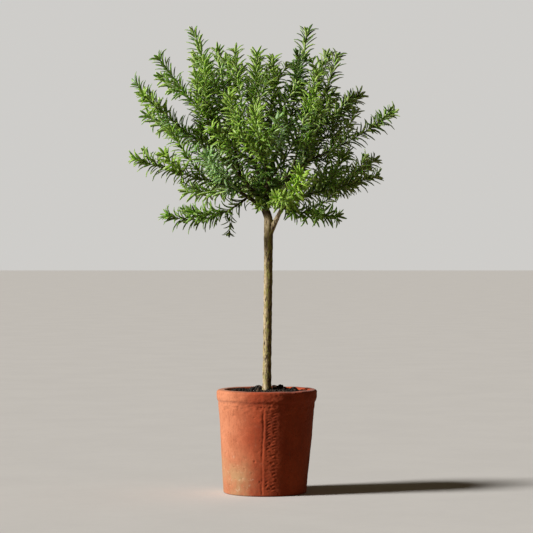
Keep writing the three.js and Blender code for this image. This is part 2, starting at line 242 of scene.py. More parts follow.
MOTTLE = bpy.data.node_groups.new("mottle", "ShaderNodeTree")
for name, kind, way in (("Place", "Vector", "INPUT"), ("Light", "Color", "INPUT"), ("Dark", "Color", "INPUT"),
                        ("Patch Scale", "Float", "INPUT"), ("Grain Scale", "Float", "INPUT"),
                        ("Colour", "Color", "OUTPUT"), ("Height", "Float", "OUTPUT")):
    MOTTLE.interface.new_socket(name=name, in_out=way, socket_type=f"NodeSocket{kind}")
mottle_out = MOTTLE.nodes.new("NodeGroupOutput").inputs
mottle_in = MOTTLE.nodes.new("NodeGroupInput").outputs
patches = noise_of(MOTTLE, mottle_in["Place"], mottle_in["Patch Scale"], 5.0)
grains = noise_of(MOTTLE, mottle_in["Place"], mottle_in["Grain Scale"], 2.0)
share = plus(MOTTLE, times(MOTTLE, patches, PATCH_SHARE), times(MOTTLE, grains, 1 - PATCH_SHARE))
tone = mixed(MOTTLE, stepped(MOTTLE, share, *TONE_LIMITS), mottle_in["Dark"], mottle_in["Light"])
feed(MOTTLE, mottle_out["Colour"], tone)
feed(MOTTLE, mottle_out["Height"], share)
print("group sockets:", [s.name for s in MOTTLE.interface.items_tree])


# %% Materials from the shared pattern
def finish(name, roughness, specular):
    """A new material with a Principled shader. Gives the tree, the shader and the place on the piece."""
    material = bpy.data.materials.new(name)
    material.use_nodes = True
    tree = material.node_tree
    shader = tree.nodes["Principled BSDF"]
    shader.inputs["Roughness"].default_value = roughness
    shader.inputs["Specular IOR Level"].default_value = specular
    return material, tree, shader, node_with(tree, "TexCoord", {})["Object"]


def mottled(tree, place, light, dark, patch_scale, grain_scale):
    """Places the shared pattern in a material, with the material's own values."""
    inputs = dict(enumerate((place, light, dark, patch_scale, grain_scale)))
    return node_with(tree, "Group", inputs, node_tree=MOTTLE)


def bumped(tree, shader, height, strength, depth):
    """Feeds a height through a Bump node to the shader. depth is in millimetres."""
    inputs = {"Strength": strength, "Distance": depth * MM, "Height": height}
    feed(tree, shader.inputs["Normal"], node_with(tree, "Bump", inputs)["Normal"])


def plain_finish(name, colours, roughness, specular, scales, bump):
    """A whole material that needs no more than the shared pattern. Gives it and its shader."""
    material, tree, shader, place = finish(name, roughness, specular)
    pattern = mottled(tree, place, *colours, *scales)
    feed(tree, shader.inputs["Base Color"], pattern["Colour"])
    bumped(tree, shader, pattern["Height"], *bump)
    return material, shader


print("finish helpers:", [helper.__name__ for helper in (finish, mottled, bumped, plain_finish)])

# %% [markdown]
# ## How a mesh becomes a piece
#
# Each piece is one object at the origin, with its place in its mesh, so that a pattern on its Object
# coordinates stays where it is. Two helpers do the last steps that the pieces share. One merges
# doubled corners, turns the faces outwards and goes over to metres. The other sets the shading, gives
# the piece its finishes, hangs it on the body it rides on and hides the solids it takes the place of.

# %% From mesh to piece
def piece_from(mesh, name, nodes, materials):
    """An object of the scene for a finished mesh, riding on the part's one body."""
    mesh.name = name
    mesh.shade_smooth()
    obj = put(name, mesh)
    for material in materials:
        mesh.materials.append(material)
    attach(obj, "root")
    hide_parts(*nodes)
    print(f"{name}: {len(mesh.vertices)} corners, {len(mesh.polygons)} faces")


def mesh_from(bm, close=False):
    """A mesh in metres from a bmesh in millimetres: merged, closed if asked, and turned outwards."""
    bmesh.ops.remove_doubles(bm, verts=bm.verts, dist=0.002)
    if close:
        bmesh.ops.holes_fill(bm, edges=[e for e in bm.edges if e.is_boundary])
    bmesh.ops.recalc_face_normals(bm, faces=bm.faces)
    bmesh.ops.scale(bm, vec=(MM,) * 3, verts=bm.verts)
    mesh = bpy.data.meshes.new("piece")
    bm.to_mesh(mesh)
    bm.free()
    return mesh


print("meshes before the first piece:", len(bpy.data.meshes))


# %% Steps, ranges and noise
def smooth(low, high, value):
    """0 below low, 1 above high, smooth between."""
    share = np.clip((value - low) / (high - low), 0, 1)
    return share * share * (3 - 2 * share)


def between(ends, share):
    """The value a share of the way from the first of two ends to the second."""
    return ends[0] + (ends[1] - ends[0]) * share


def lump(x, y, z, size, seed=0.0):
    """Smooth noise from -1 to 1 with bumps about that many millimetres across."""
    return noise.noise(Vector((x / size + seed, y / size, z / size - seed)))


def layered(x, y, z, layers):
    """Layers of noise added up. Each is a strength, a size, a seed and how far it is drawn out upwards."""
    return sum(strength * lump(x, y, z / drawn, size, seed) for strength, size, seed, drawn in layers)


print("a quarter of the way up a smooth step:", smooth(0, 1, 0.25))

# %% [markdown]
# ## The clay pot
#
# The pot looks bent round from a slab of clay and finished by hand: a thick wall with a rolled rim, a
# seam down the front where the slab's two ends meet, and a strip of short comb marks pressed into the
# overlap beside it. It is round all the same, so its outline is drawn once and spun round the upright,
# as on a lathe. The seam, the comb marks, the dents and the unevenness of the rim are then pushed into
# the mesh itself, because they show on its edge and in raking light.

# %% Outline of the wall
POT = {"height": 155, "foot": 62.5, "shoulder": 72, "rim": 75, "band": 137, "mouth": 62, "well": 50,
       "floor": 12, "lean": 3, "round": 4}
WALL_STEP = 0.85
HIDDEN_STEP = 5
WELL_STEP = 4


def well_radius(z):
    """The radius of the inside at a height."""
    share = (z - POT["floor"]) / (POT["height"] - POT["floor"])
    return POT["well"] + share * (POT["mouth"] - POT["well"])


def walked(corners, step):
    """Points at even steps along straight lines from corner to corner."""
    points = [np.array(corners[0], float)]
    for a, b in zip(corners, corners[1:]):
        a, b = np.array(a, float), np.array(b, float)
        count = max(1, round(np.linalg.norm(b - a) / step))
        points += [a + (b - a) * n / count for n in range(1, count + 1)]
    return points


def bent(a, pull, b, t):
    """The place a share t of the way along a curve from a to b that is pulled towards a third point."""
    return (1 - t) ** 2 * a + 2 * (1 - t) * t * pull + t * t * b


def rounded(a, pull, b, count=6):
    """Points round a bend from a to b, without a itself."""
    a, pull, b = (np.array(p, float) for p in (a, pull, b))
    return [bent(a, pull, b, n / count) for n in range(1, count + 1)]


def pot_outline():
    """Radius and height from the middle of the underside, up the wall, over the rim and back inside."""
    height, rim, band, mouth, bend = POT["height"], POT["rim"], POT["band"], POT["mouth"], POT["round"]
    foot, shoulder, lip = POT["foot"], POT["shoulder"], POT["height"] - POT["round"]
    line = walked([(0, 0), (foot - 3, 0)], HIDDEN_STEP)
    line += rounded(line[-1], (foot, 0), (foot, 3))
    line += walked([(foot, 3), (shoulder, band - 4)], WALL_STEP)[1:]
    line += rounded(line[-1], (shoulder + 0.2, band), (shoulder + 1.5, band + 2))
    line += rounded(line[-1], (rim - 0.3, band + 3.5), (rim, band + 7), 8)
    line += walked([(rim, band + 7), (rim, lip)], WALL_STEP)[1:]
    line += rounded(line[-1], (rim - 0.2, height), (rim - bend - 1, height), 7)
    line += walked([line[-1], (mouth + bend, height)], WALL_STEP)[1:]
    line += rounded(line[-1], (mouth, height), (well_radius(lip), lip), 7)
    line += walked([(well_radius(lip), lip), (well_radius(POT["floor"]), POT["floor"])], WELL_STEP)[1:]
    line += walked([line[-1], (0, POT["floor"])], HIDDEN_STEP)[1:]
    return line


outline = pot_outline()
print("outline points:", len(outline))

# %% [markdown]
# The marks on the wall are sums of small bumps, each a function of how far round from the front a
# point is and how high. Writing them apart keeps them easy to tune against the photograph.

# %% Seam and comb marks
SEAM = {"groove": -4.9, "groove_width": 1.0, "groove_depth": 0.9, "ridge": -2.1, "ridge_width": 1.5,
        "ridge_height": 0.28, "low": 6, "high": 131}
COMB = {"from": 0.5, "to": 18.5, "low": (4, 10), "high": (122, 131), "column": 9, "bow": 2.4,
        "wide_below": 55, "spacing_wide": 5.7, "spacing": 4.5, "depth": 1.0, "lightest": 0.2}


def bell(distance, width):
    """1 at no distance, falling to nothing past a few widths."""
    return math.exp(-((distance / width) ** 2))


def seam_mark(round_mm, z):
    """The groove and the ridge of the joint. round_mm is measured along the wall from the front."""
    wander = 1.5 * lump(3, 5, z, 34) + 0.8 * lump(1, 4, z, 8)
    low, high = SEAM["low"], SEAM["high"]
    reach = smooth(low - 6, low, z) * (1 - smooth(high - 4, high + 2, z))
    groove = SEAM["groove_depth"] * bell(round_mm - SEAM["groove"] - wander, SEAM["groove_width"])
    ridge = SEAM["ridge_height"] * bell(round_mm - SEAM["ridge"] - wander, SEAM["ridge_width"])
    deep = 0.45 + 0.75 * smooth(-0.35, 0.3, lump(4, 7, z, 24))
    return reach * (ridge * (0.8 + 0.9 * lump(8, 1, z, 9)) - groove * (deep + 0.3 * lump(4, 7, z, 6)))


def comb_mark(round_mm, z):
    """Two columns of bowed strokes pressed in beside the seam, closer together high up: 0 to 1."""
    edge = smooth(COMB["from"] - 1, COMB["from"] + 1.5, round_mm)
    edge *= 1 - smooth(COMB["to"] - 5, COMB["to"] + 1, round_mm + 3 * lump(1, 2, z, 9))
    edge *= smooth(*COMB["low"], z) * (1 - smooth(*COMB["high"], z))
    pressure = smooth(-0.25, 0.45, 0.8 * lump(7, 3, z, 30) + lump(round_mm, 3, z, 5.5))
    column = (round_mm - COMB["from"] + 1.6 * lump(2, 6, z, 16)) / COMB["column"] % 1
    uneven = 1.3 * lump(round_mm, 9, z, 12) + 0.6 * lump(round_mm, 2, z, 5)
    high = z - COMB["bow"] * (1 - (2 * column - 1) ** 2) + uneven - COMB["wide_below"]
    phase = max(high, 0) / COMB["spacing"] + min(high, 0) / COMB["spacing_wide"]
    force = COMB["lightest"] + (1 - COMB["lightest"]) * pressure
    return edge * force * (0.5 + 0.5 * math.cos(2 * math.pi * phase))


MID_HEIGHT = 70
at_middle = [round(seam_mark(SEAM[part], MID_HEIGHT), 2) for part in ("groove", "ridge")]
print("groove and ridge at mid height:", *at_middle)

# %% [markdown]
# The potter's hands and years of use left marks with no plan in them. Slow waves run round the wall, drags
# run up it, pits are scattered over it, and clay is smeared under the rim. The rim is rolled by hand,
# so it swells and thins. A dent is told as how far round it is, how high, how wide and how deep.

# %% Wear and dents
WAVES = [(0.7, 55, 0, 1), (0.28, 9, 4, 3), (0.22, 5, 9, 1)]
SMEARS = [(0.9, 6, 13, 1), (0.7, 2.6, 17, 1)]
SMEARED = (118, 130)
PITS = {"depth": 0.9, "size": 3.4, "seed": 21, "limits": (0.52, 0.75)}
RIM_WEAR = [(0.9, 26, 2, 2), (0.5, 8, 5, 1), (0.5, 3.5, 7, 1)]
RIM_TOP = [(0.6, 24, 6, 1), (0.2, 6, 8, 1)]
DENTS = [(-16.5, 52, 1.5, 1.5), (-53, 119, 1.6, 0.9), (31, 57, 2.6, 0.5), (-36, 26, 1.8, 0.6),
         (-9, 112, 3, -0.7), (-48, 80, 1.3, 0.7), (-30, 96, 1.2, 0.6)]
STAINS = [(35.3, 145.5, 1.7), (-9.5, 52, 1.3)]
WEAR_RADIUS = 60


def worn(round_mm, z, angle):
    """What years and the potter's hands leave on the wall."""
    x, y = WEAR_RADIUS * math.cos(angle), WEAR_RADIUS * math.sin(angle)
    pits = -PITS["depth"] * smooth(*PITS["limits"], lump(x, y, z, PITS["size"], PITS["seed"]))
    smears = layered(x, y, z, SMEARS) * smooth(*SMEARED, z)
    dents = sum(-depth * bell(math.hypot(round_mm - at, z - high), size) for at, high, size, depth in DENTS)
    return layered(x, y, z, WAVES) + pits + smears + dents


print("the wall at the first dent moves", round(worn(*DENTS[0][:2], -math.pi / 2), 2), "mm")

# %% [markdown]
# Spinning gives a shell that is closed but for the doubled seam of the spin and the two poles, and
# merging closes those. Each corner then moves along its own outward direction, in the wall's plane.
# The underside stays flat, because the pot stands on it.

# %% Spin the pot and press the marks in
STEPS_ROUND = 336
INSIDE_WEAR = (0.5, 14, 3)
# The groove is darkened as painted shade; the stains keep their own dark.
GROOVE_SHADE, STAIN_DIRT = 0.8, 1.6


def spun(line, steps):
    """A bmesh of a line of radii and heights, spun once round the upright."""
    bm = bmesh.new()
    corners = [bm.verts.new((radius, 0, z)) for radius, z in line]
    edges = [bm.edges.new(pair) for pair in zip(corners, corners[1:])]
    bmesh.ops.spin(bm, geom=corners + edges, cent=(0, 0, 0), axis=(0, 0, 1), angle=2 * math.pi,
                   steps=steps, use_merge=True, use_duplicate=False)
    bmesh.ops.remove_doubles(bm, verts=bm.verts, dist=0.01)
    return bm


def leaned(z):
    """How far the pot's lean carries a place at this height to the right."""
    return POT["lean"] * z / POT["height"]


def outward_push(x, y, z):
    """How far a place on the pot moves outwards, and how dark it is painted, from 0 to 1."""
    out, angle = math.hypot(x, y), math.atan2(y, x)
    round_mm = (angle + math.pi / 2) * out
    if round_mm > math.pi * out:
        round_mm -= 2 * math.pi * out
    outside = smooth(2, 9, out - well_radius(max(z, POT["floor"])))
    on_wall = 1 - smooth(POT["band"] - 3, POT["band"] + 1, z)
    seam, stroke = seam_mark(round_mm, z), comb_mark(round_mm, z)
    push = on_wall * (seam - COMB["depth"] * stroke + worn(round_mm, z, angle))
    push += (1 - on_wall) * layered(x, y, z, RIM_WEAR)
    push *= smooth(0.5, 5, z) * outside
    stain = max(bell(math.hypot(round_mm - at, z - high), size) for at, high, size in STAINS)
    # Painted shade in the comb strokes and the groove, and the stains' own dark.
    mark = outside * max(on_wall * stroke, on_wall * max(-seam, 0) * GROOVE_SHADE, STAIN_DIRT * stain)
    strength, size, seed = INSIDE_WEAR
    return push + (1 - outside) * strength * lump(x, y, z, size, seed), min(mark, 1)


def pot_mesh():
    bm = spun(outline, STEPS_ROUND)
    marks = bm.verts.layers.float.new("marks")
    for corner in bm.verts:
        x, y, z = corner.co
        out = math.hypot(x, y)
        if out > POT["well"] - 1 and z > 0.5:
            push, corner[marks] = outward_push(x, y, z)
            corner.co += Vector((x / out, y / out, 0)) * push
        if z > POT["height"] - POT["round"] * 1.5:
            corner.co.z += layered(x, y, 0, RIM_TOP)
        corner.co.x += leaned(z)
    return mesh_from(bm)


pot_shell = pot_mesh()
print("corners of the pot:", len(pot_shell.vertices))

# %% [markdown]
# Terracotta is never one red. The clay is pale and chalky on the left, and towards the right, away from
# the window, it is painted darker and redder: painted shade. Drags of darker clay run up it, and all over
# there are freckles and a fine sandy grain. Low on the left, lime from the water has dried to a veil with a
# few white blooms. So the finish mixes two clays from left to right, each with the shared pattern, and then
# lays the darker and the paler marks over them by masks. The bottom of every groove and stroke is painted
# dark, as painted shade, and so are two real stains. The mesh knows where those are, so it hands them to
# the finish as an attribute.

# %% Clay finish
CLAY_LEFT = ((0.62, 0.250, 0.134), (0.48, 0.165, 0.076))
# This clay is painted shade: darker and redder on the right, away from the lamp.
CLAY_PAINTED_SHADE = ((0.45, 0.074, 0.020), (0.30, 0.040, 0.010))
CLAY_SCALES = (26.0, 620.0)
LIME_VEIL = (0.40, 0.27, 0.135)
LIME = (0.70, 0.54, 0.41)
STAIN = (0.20, 0.052, 0.018)
SHADE_AND_STAIN = (0.16, 0.030, 0.008)
CLAY_NOISES = {"broad": (1, 22.0, 4.0), "drag": (0.12, 130.0, 3.0), "freckle": (0.5, 330.0, 4.0, 0.7),
               "bloom": (1, 120.0, 6.0, 0.72), "sand": (1, 1100.0, 2.0)}
CLAY_MASKS = {"painted_shade": (-0.056, 0.010), "drag": (0.5, 0.8), "freckle": (0.5, 0.64), "low": (0.012, 0.085),
              "left": (-0.040, 0.002), "veil": (0.3, 0.62), "bloom": (0.56, 0.72)}
CLAY_SHARES = {"drag": 0.35, "freckle": 0.32, "veil": 0.85, "bloom": 0.7, "shade_and_stain": 0.36}
SHADE_EDGE_WAVER = 0.03
BLOOM_ANYWHERE = 0.06


def clay():
    material, tree, shader, place = finish("terracotta", 0.88, 0.3)
    shader.inputs["Sheen Weight"].default_value = 0.12
    right, _, up = axes_of(tree, place)
    grain, masked, over = layering(tree, place, CLAY_NOISES, CLAY_MASKS, CLAY_SHARES)
    left_clay = mottled(tree, place, *CLAY_LEFT, *CLAY_SCALES)
    # Painted shade: the clay turns darker and redder towards the right.
    painted_shade = mottled(tree, place, *CLAY_PAINTED_SHADE, *CLAY_SCALES)
    broad = grain("broad")
    across = plus(tree, right, times(tree, broad, SHADE_EDGE_WAVER))
    colour = mixed(tree, masked(across, "painted_shade"), left_clay["Colour"], painted_shade["Colour"])
    for part in ("drag", "freckle"):
        colour = over(colour, masked(grain(part), part), part, STAIN)
    low_left = times(tree, all_but(tree, masked(up, "low")), all_but(tree, masked(right, "left")))
    colour = over(colour, times(tree, masked(broad, "veil"), low_left), "veil", LIME_VEIL)
    blooms = times(tree, masked(grain("bloom"), "bloom"), plus(tree, low_left, BLOOM_ANYWHERE), clamp=True)
    colour = over(colour, blooms, "bloom", LIME)
    # Painted shade in the grooves and comb strokes, and the stains' own dark.
    marks = node_with(tree, "Attribute", {}, attribute_name="marks")["Fac"]
    colour = over(colour, marks, "shade_and_stain", SHADE_AND_STAIN)
    feed(tree, shader.inputs["Base Color"], colour)
    height = plus(tree, times(tree, left_clay["Height"], 0.6), times(tree, grain("sand"), 0.5))
    bumped(tree, shader, height, 0.9, 0.7)
    return material


piece_from(pot_shell, "pot_of_clay", ["pot"], [clay()])

# %% [markdown]
# ## The grit
#
# The pot is filled with black, crumbly potting grit that heaps up to the stem and drops to the wall.
# A smooth bed would look like a lid, and a bed of loose crumbs alone would cost too many faces. So a
# bed is spun as the pot was, roughened, and then covered with nine hundred crumbs and one pale pebble.
# A crumb is a cube cut once each way and rounded, so it has two dozen faces, and one joined mesh holds
# them all. The random numbers come from a small rule with a seed, so that each run gives the same bed.

# %% Bed of grit
SOIL = {"edge": 150, "mound": 3, "flat": 12, "wall_gap": 0.4, "floor_gap": 0.3, "under_crumbs": 1.2}
HEAPS = [(-15, 8, 6.5, 9), (19, 15, 7, 9), (41, 6, 5, 9), (-42, 4, 3.5, 11)]
BED_STEPS_ROUND, BED_RINGS = 96, 40


def grit_height(x, y):
    """The height of the grit at a place: a low mound with a few heaps on it."""
    mound = SOIL["mound"] * (1 - smooth(SOIL["flat"], POT["mouth"], math.hypot(x, y)))
    heaps = sum(high * bell(math.hypot(x - at_x, y - at_y), wide) for at_x, at_y, high, wide in HEAPS)
    return SOIL["edge"] + mound + heaps


def bed_mesh():
    edge, bed = (well_radius(z) - SOIL["wall_gap"] for z in (SOIL["edge"], POT["floor"]))
    low = POT["floor"] + SOIL["floor_gap"]
    line = [(0, low), (bed, low), (edge, SOIL["edge"] - 2)]
    line += [(radius, SOIL["edge"]) for radius in np.linspace(edge, 0, BED_RINGS)]
    bm = spun(line, BED_STEPS_ROUND)
    for corner in bm.verts:
        x, y, z = corner.co
        if z > SOIL["edge"] - 1.5:
            rough = grit_height(x, y) - SOIL["under_crumbs"] + 1.3 * lump(x, y, 0, 7, 1)
            corner.co.z = rough + 0.7 * lump(x, y, 0, 3, 2)
        corner.co.x += leaned(z)
    return mesh_from(bm)


print("grit beside the stem is", round(grit_height(10, 0), 1), "mm high")


# %% Crumbs
CRUMBS = {"count": 900, "sizes": (1.5, 3.6), "from_wall": 4, "sunk": 0.9, "brown_above": 0.86, "shapes": 5}
PEBBLE = {"place": (14, 8), "size": 4.0, "form": (1.1, 0.9, 0.8), "lift": 0.7}


def draws(seed):
    """The same run of numbers from 0 to 1 for the same seed. The part's source has the same one."""
    state = ((seed + 1) * 2654435761) % 2**32

    def draw():
        nonlocal state
        state = (state * 1664525 + 1013904223) % 2**32
        return state / 2**32

    return draw


def crumb_shape(seed):
    """The corners and faces of one crumb about a millimetre in radius."""
    bm = bmesh.new()
    bmesh.ops.create_cube(bm, size=1.5)
    bmesh.ops.subdivide_edges(bm, edges=bm.edges, cuts=1, use_grid_fill=True)
    bmesh.ops.smooth_vert(bm, verts=bm.verts, factor=0.6, use_axis_x=True, use_axis_y=True, use_axis_z=True)
    for corner in bm.verts:
        corner.co *= 1 + 0.45 * lump(*corner.co, 0.7, seed)
    bm.verts.ensure_lookup_table()
    corners = np.array([v.co[:] for v in bm.verts])
    faces = [[v.index for v in f.verts] for f in bm.faces]
    bm.free()
    return corners, faces


print("a crumb has", len(crumb_shape(0)[1]), "faces")


# %% Scatter the crumbs
def tumble(draw):
    """A random rotation as a 3 by 3 array, from a unit quaternion."""
    a, b, c = draw(), 2 * math.pi * draw(), 2 * math.pi * draw()
    w, x, y, z = (math.sqrt(1 - a) * math.sin(b), math.sqrt(1 - a) * math.cos(b),
                  math.sqrt(a) * math.sin(c), math.sqrt(a) * math.cos(c))
    return np.array([[1 - 2 * (y * y + z * z), 2 * (x * y - z * w), 2 * (x * z + y * w)],
                     [2 * (x * y + z * w), 1 - 2 * (x * x + z * z), 2 * (y * z - x * w)],
                     [2 * (x * z - y * w), 2 * (y * z + x * w), 1 - 2 * (x * x + y * y)]])


def joined(copies, faces_each, tints):
    """One mesh from arrays of corners in millimetres, the faces of each, and the finish of every face."""
    starts = np.cumsum([0] + [len(corners) for corners in copies[:-1]]).tolist()
    faces = [[v + start for v in face] for own, start in zip(faces_each, starts) for face in own]
    mesh = bpy.data.meshes.new("piece")
    mesh.from_pydata((np.concatenate(copies) * MM).tolist(), [], faces)
    mesh.polygons.foreach_set("material_index", tints)
    return mesh


def crumbs_mesh():
    """All crumbs in one mesh. The first finish is black, the second brown and the third the pebble's."""
    draw = draws(4000)
    shapes = [crumb_shape(seed) for seed in range(CRUMBS["shapes"])]
    copies, faces, tints = [], [], []
    for number in range(CRUMBS["count"]):
        out = (POT["mouth"] - CRUMBS["from_wall"]) * math.sqrt(draw())
        around = 2 * math.pi * draw()
        size = between(CRUMBS["sizes"], draw() ** 2)
        x, y = out * math.cos(around), out * math.sin(around)
        z = grit_height(x, y) + 0.3 * size - CRUMBS["sunk"]
        x += leaned(z)
        corners, crumb_faces = shapes[number % len(shapes)]
        squash = np.array([1, 0.8 + 0.3 * draw(), 0.6 + 0.3 * draw()])
        copies.append((corners * size * squash) @ tumble(draw).T + (x, y, z))
        faces.append(crumb_faces)
        tints += [int(draw() > CRUMBS["brown_above"])] * len(crumb_faces)
    x, y = PEBBLE["place"]
    z = grit_height(x, y) + PEBBLE["lift"] * PEBBLE["size"]
    corners, crumb_faces = shapes[1]
    copies.append(corners * PEBBLE["size"] * PEBBLE["form"] + (x, y, z))
    faces.append(crumb_faces)
    tints += [2] * len(crumb_faces)
    return joined(copies, faces, tints)


crumbs = crumbs_mesh()
print("faces of the crumbs and the pebble:", len(crumbs.polygons))

# %% Grit finish
GRITS = {
    "grit_black": (((0.028, 0.024, 0.021), (0.008, 0.007, 0.006)), 0.95),
    "grit_brown": (((0.10, 0.066, 0.045), (0.03, 0.02, 0.014)), 0.95),
    # The pebble is a pale stone, and its colour is made paler still as painted light against the trunk's
    # shadow.
    "pebble_pale": (((0.80, 0.70, 0.66), (0.50, 0.42, 0.39)), 0.8),
}
GRIT_VALUES = {"specular": 0.35, "scales": (240.0, 1500.0), "bump": (0.8, 0.6)}

grit_finishes = [plain_finish(name, colours, roughness, **GRIT_VALUES)[0]
                 for name, (colours, roughness) in GRITS.items()]
piece_from(bed_mesh(), "grit_bed", ["soil"], grit_finishes[:1])
piece_from(crumbs, "grit_crumbs", ["soil"], grit_finishes)

# %% [markdown]
# ## The skeleton
#
# The plant's limbs are curves with a radius. Every limb but the trunk is an arc that starts on its
# parent, is pulled up or down in the middle, and ends at a place given by an azimuth, a distance and a
# height. The rule and its numbers are those of the part's source, so that what grows here grows where
# the solids are.

# %% Curves
SAMPLE_STEP = 4
UP = np.array([0.0, 0.0, 1.0])


def unit(v):
    return v / np.linalg.norm(v, axis=-1, keepdims=True)


class Arc:
    """A limb's middle line: it starts, is pulled towards a point, and ends."""

    def __init__(self, start, pull, end, radii):
        self.start, self.pull, self.end, self.radii = start, pull, end, radii

    def at(self, t):
        return bent(self.start, self.pull, self.end, np.asarray(t, float)[..., None])

    def heading(self, t):
        t = np.asarray(t, float)[..., None]
        return unit((1 - t) * (self.pull - self.start) + t * (self.end - self.pull))

    def radius(self, t):
        return between(self.radii, np.asarray(t, float))

    def length(self):
        points = self.at(np.linspace(0, 1, 201))
        return float(np.linalg.norm(np.diff(points, axis=0), axis=1).sum())

    def samples(self):
        """Points a few millimetres apart along the line, and the radius at each."""
        count = math.ceil(self.length() / SAMPLE_STEP)
        t = np.arange(count + 1) / count
        return self.at(t), self.radius(t)


def arch(start, end, bend, radii):
    """An arc between two places that is pulled up at half way, or down if the bend is below 0."""
    return Arc(start, (start + end) / 2 + bend * UP, end, radii)


hoop = arch(np.zeros(3), np.array([100.0, 0.0, 0.0]), 40, (1, 1))
print("an arch over 100 mm, pulled up 40 mm, is", round(hoop.length(), 1), "mm long")

# %% [markdown]
# The trunk has a line of its own. It leans a little to the right up to the fork, and above it sways
# to the left and then back, because there it gives its strength to one bough after another. Its foot
# is flared, and it swells a little below the fork.

# %% The trunk's line
TRUNK = {"ground": 153.3, "foot_x": 3, "flare": 1.3, "flare_height": 16, "stem": 6.5, "swell": 0.4,
         "swell_height": 60, "fork": 390, "tip": 505, "tip_radius": 2.2, "lean": 2.2, "sway": 11,
         "sway_from": 408, "sway_to": 442, "depth": 6}


class TrunkLine(Arc):
    """The trunk's own line and girth, told by its height."""

    def __init__(self):
        """It needs no ends, because all its numbers are in TRUNK."""

    def height(self, t):
        return TRUNK["ground"] + np.asarray(t, float) * (TRUNK["tip"] - TRUNK["ground"])

    def at(self, t):
        z, fork, tip, turning = self.height(t), TRUNK["fork"], TRUNK["tip"], TRUNK["sway_to"]
        swayed = TRUNK["sway"] * (smooth(turning, tip, z) - smooth(TRUNK["sway_from"], turning, z))
        x = TRUNK["foot_x"] + TRUNK["lean"] * smooth(TRUNK["ground"], fork, z) + swayed
        return np.stack([x, TRUNK["depth"] * smooth(fork, tip, z), z], axis=-1)

    def at_height(self, z):
        return self.at((z - TRUNK["ground"]) / (TRUNK["tip"] - TRUNK["ground"]))

    def heading(self, t):
        t = np.asarray(t, float)
        return unit(self.at(np.minimum(t + 1e-3, 1)) - self.at(np.maximum(t - 1e-3, 0)))

    def radius(self, t):
        z, ground, fork = self.height(t), TRUNK["ground"], TRUNK["fork"]
        flare = TRUNK["flare"] * (1 - smooth(ground, ground + TRUNK["flare_height"], z))
        swell = TRUNK["swell"] * smooth(fork - TRUNK["swell_height"], fork, z)
        taper = (TRUNK["stem"] + TRUNK["swell"] - TRUNK["tip_radius"]) * smooth(fork, TRUNK["tip"], z)
        return TRUNK["stem"] + flare + swell - taper


TRUNK_LINE = TrunkLine()
print("trunk length:", round(TRUNK_LINE.length(), 1), "mm")

# %% [markdown]
# Nine boughs leave the trunk between its fork and its tip. Each row gives the height on the trunk
# where the bough leaves, the azimuth, distance and height of its end, and how far it bends.

# %% Boughs
BOUGH_RADII = (3.7, 1.9)
BOUGHS = {
    "right_low": (386, 344, 31, 442, -1),
    "left_low": (430, 187, 52, 459, -3),
    "front": (428, 272, 54, 474, -6),
    "back_left": (434, 122, 62, 470, -5),
    "back_right": (442, 50, 62, 478, -5),
    "left": (440, 172, 56, 494, -6),
    "right": (452, 2, 62, 498, -6),
    "top_left": (466, 184, 36, 536, -8),
    "top_right": (478, 20, 36, 552, -8),
}


def place_of(azimuth, out, height):
    """A place from an azimuth in degrees, a distance from the trunk's line and a height."""
    angle = math.radians(azimuth)
    return np.array([TRUNK["foot_x"] + out * math.cos(angle), out * math.sin(angle), height])


LIMBS = {"trunk": TRUNK_LINE}
for name, (leaves, azimuth, out, top, bend) in BOUGHS.items():
    LIMBS[name] = arch(TRUNK_LINE.at_height(leaves), place_of(azimuth, out, top), bend, BOUGH_RADII)
sampled = [limb.samples() for limb in LIMBS.values()]
LIMB_POINTS, LIMB_RADII = (np.concatenate(parts) for parts in zip(*sampled))
print("limb lengths:", {name: round(limb.length()) for name, limb in LIMBS.items()})

# %% [markdown]
# ## Bark
#
# The stem is pale and smooth where it is lit, but close to it is knobbly: low swellings, shallow
# fissures that run up it, and moss in patches. The limbs start as plain tubes. A cylinder would have
# to be bent, so a tube is a flat grid instead, which is rolled up and set onto its curve ring by ring.

# %% Tubes
def frames_along(line, t):
    """Two directions square to a line at each share t, carried along it without twisting."""
    headings = line.heading(t)
    side = np.cross(headings[0], (0.0, 1.0, 0.0) if abs(headings[0][1]) < 0.9 else (1.0, 0.0, 0.0))
    sides = [side / np.linalg.norm(side)]
    for heading in headings[1:]:
        side = sides[-1] - heading * (sides[-1] @ heading)
        sides.append(side / np.linalg.norm(side))
    sides = np.array(sides)
    return headings, sides, np.cross(headings, sides)


def tube(bm, line, around, rings, radius_at):
    """Rolls a flat grid up onto a line. Gives its faces, each with its share of the way along."""
    made = bmesh.ops.create_grid(bm, x_segments=around, y_segments=rings, size=1)["verts"]
    shares = np.linspace(0, 1, rings + 1)
    points, (_, sides, others) = line.at(shares), frames_along(line, shares)
    radii = radius_at(shares)
    faces = set()
    for corner in made:
        ring = round((corner.co.y + 1) / 2 * rings)
        angle = math.pi * corner.co.x
        away = math.cos(angle) * sides[ring] + math.sin(angle) * others[ring]
        corner.co = points[ring] + radii[ring] * away
        faces.update((face, shares[ring]) for face in corner.link_faces)
    return faces


COLLARS = {"right_low": (1.9, 0.5)}
USUAL_COLLAR = (1.3, 0.2)
TRUNK_MESH, BOUGH_MESH = (24, 120), (16, 30)


def with_collar(name):
    """A bough's radius, swollen by so many millimetres for a share of its length at the trunk."""
    swell, reach = COLLARS.get(name, USUAL_COLLAR)
    return lambda t: LIMBS[name].radius(t) + swell * np.exp(-((t / reach) ** 2))


def limbs_mesh():
    bm = bmesh.new()
    tube(bm, TRUNK_LINE, *TRUNK_MESH, TRUNK_LINE.radius)
    for name in BOUGHS:
        tube(bm, LIMBS[name], *BOUGH_MESH, with_collar(name))
    return mesh_from(bm, close=True)


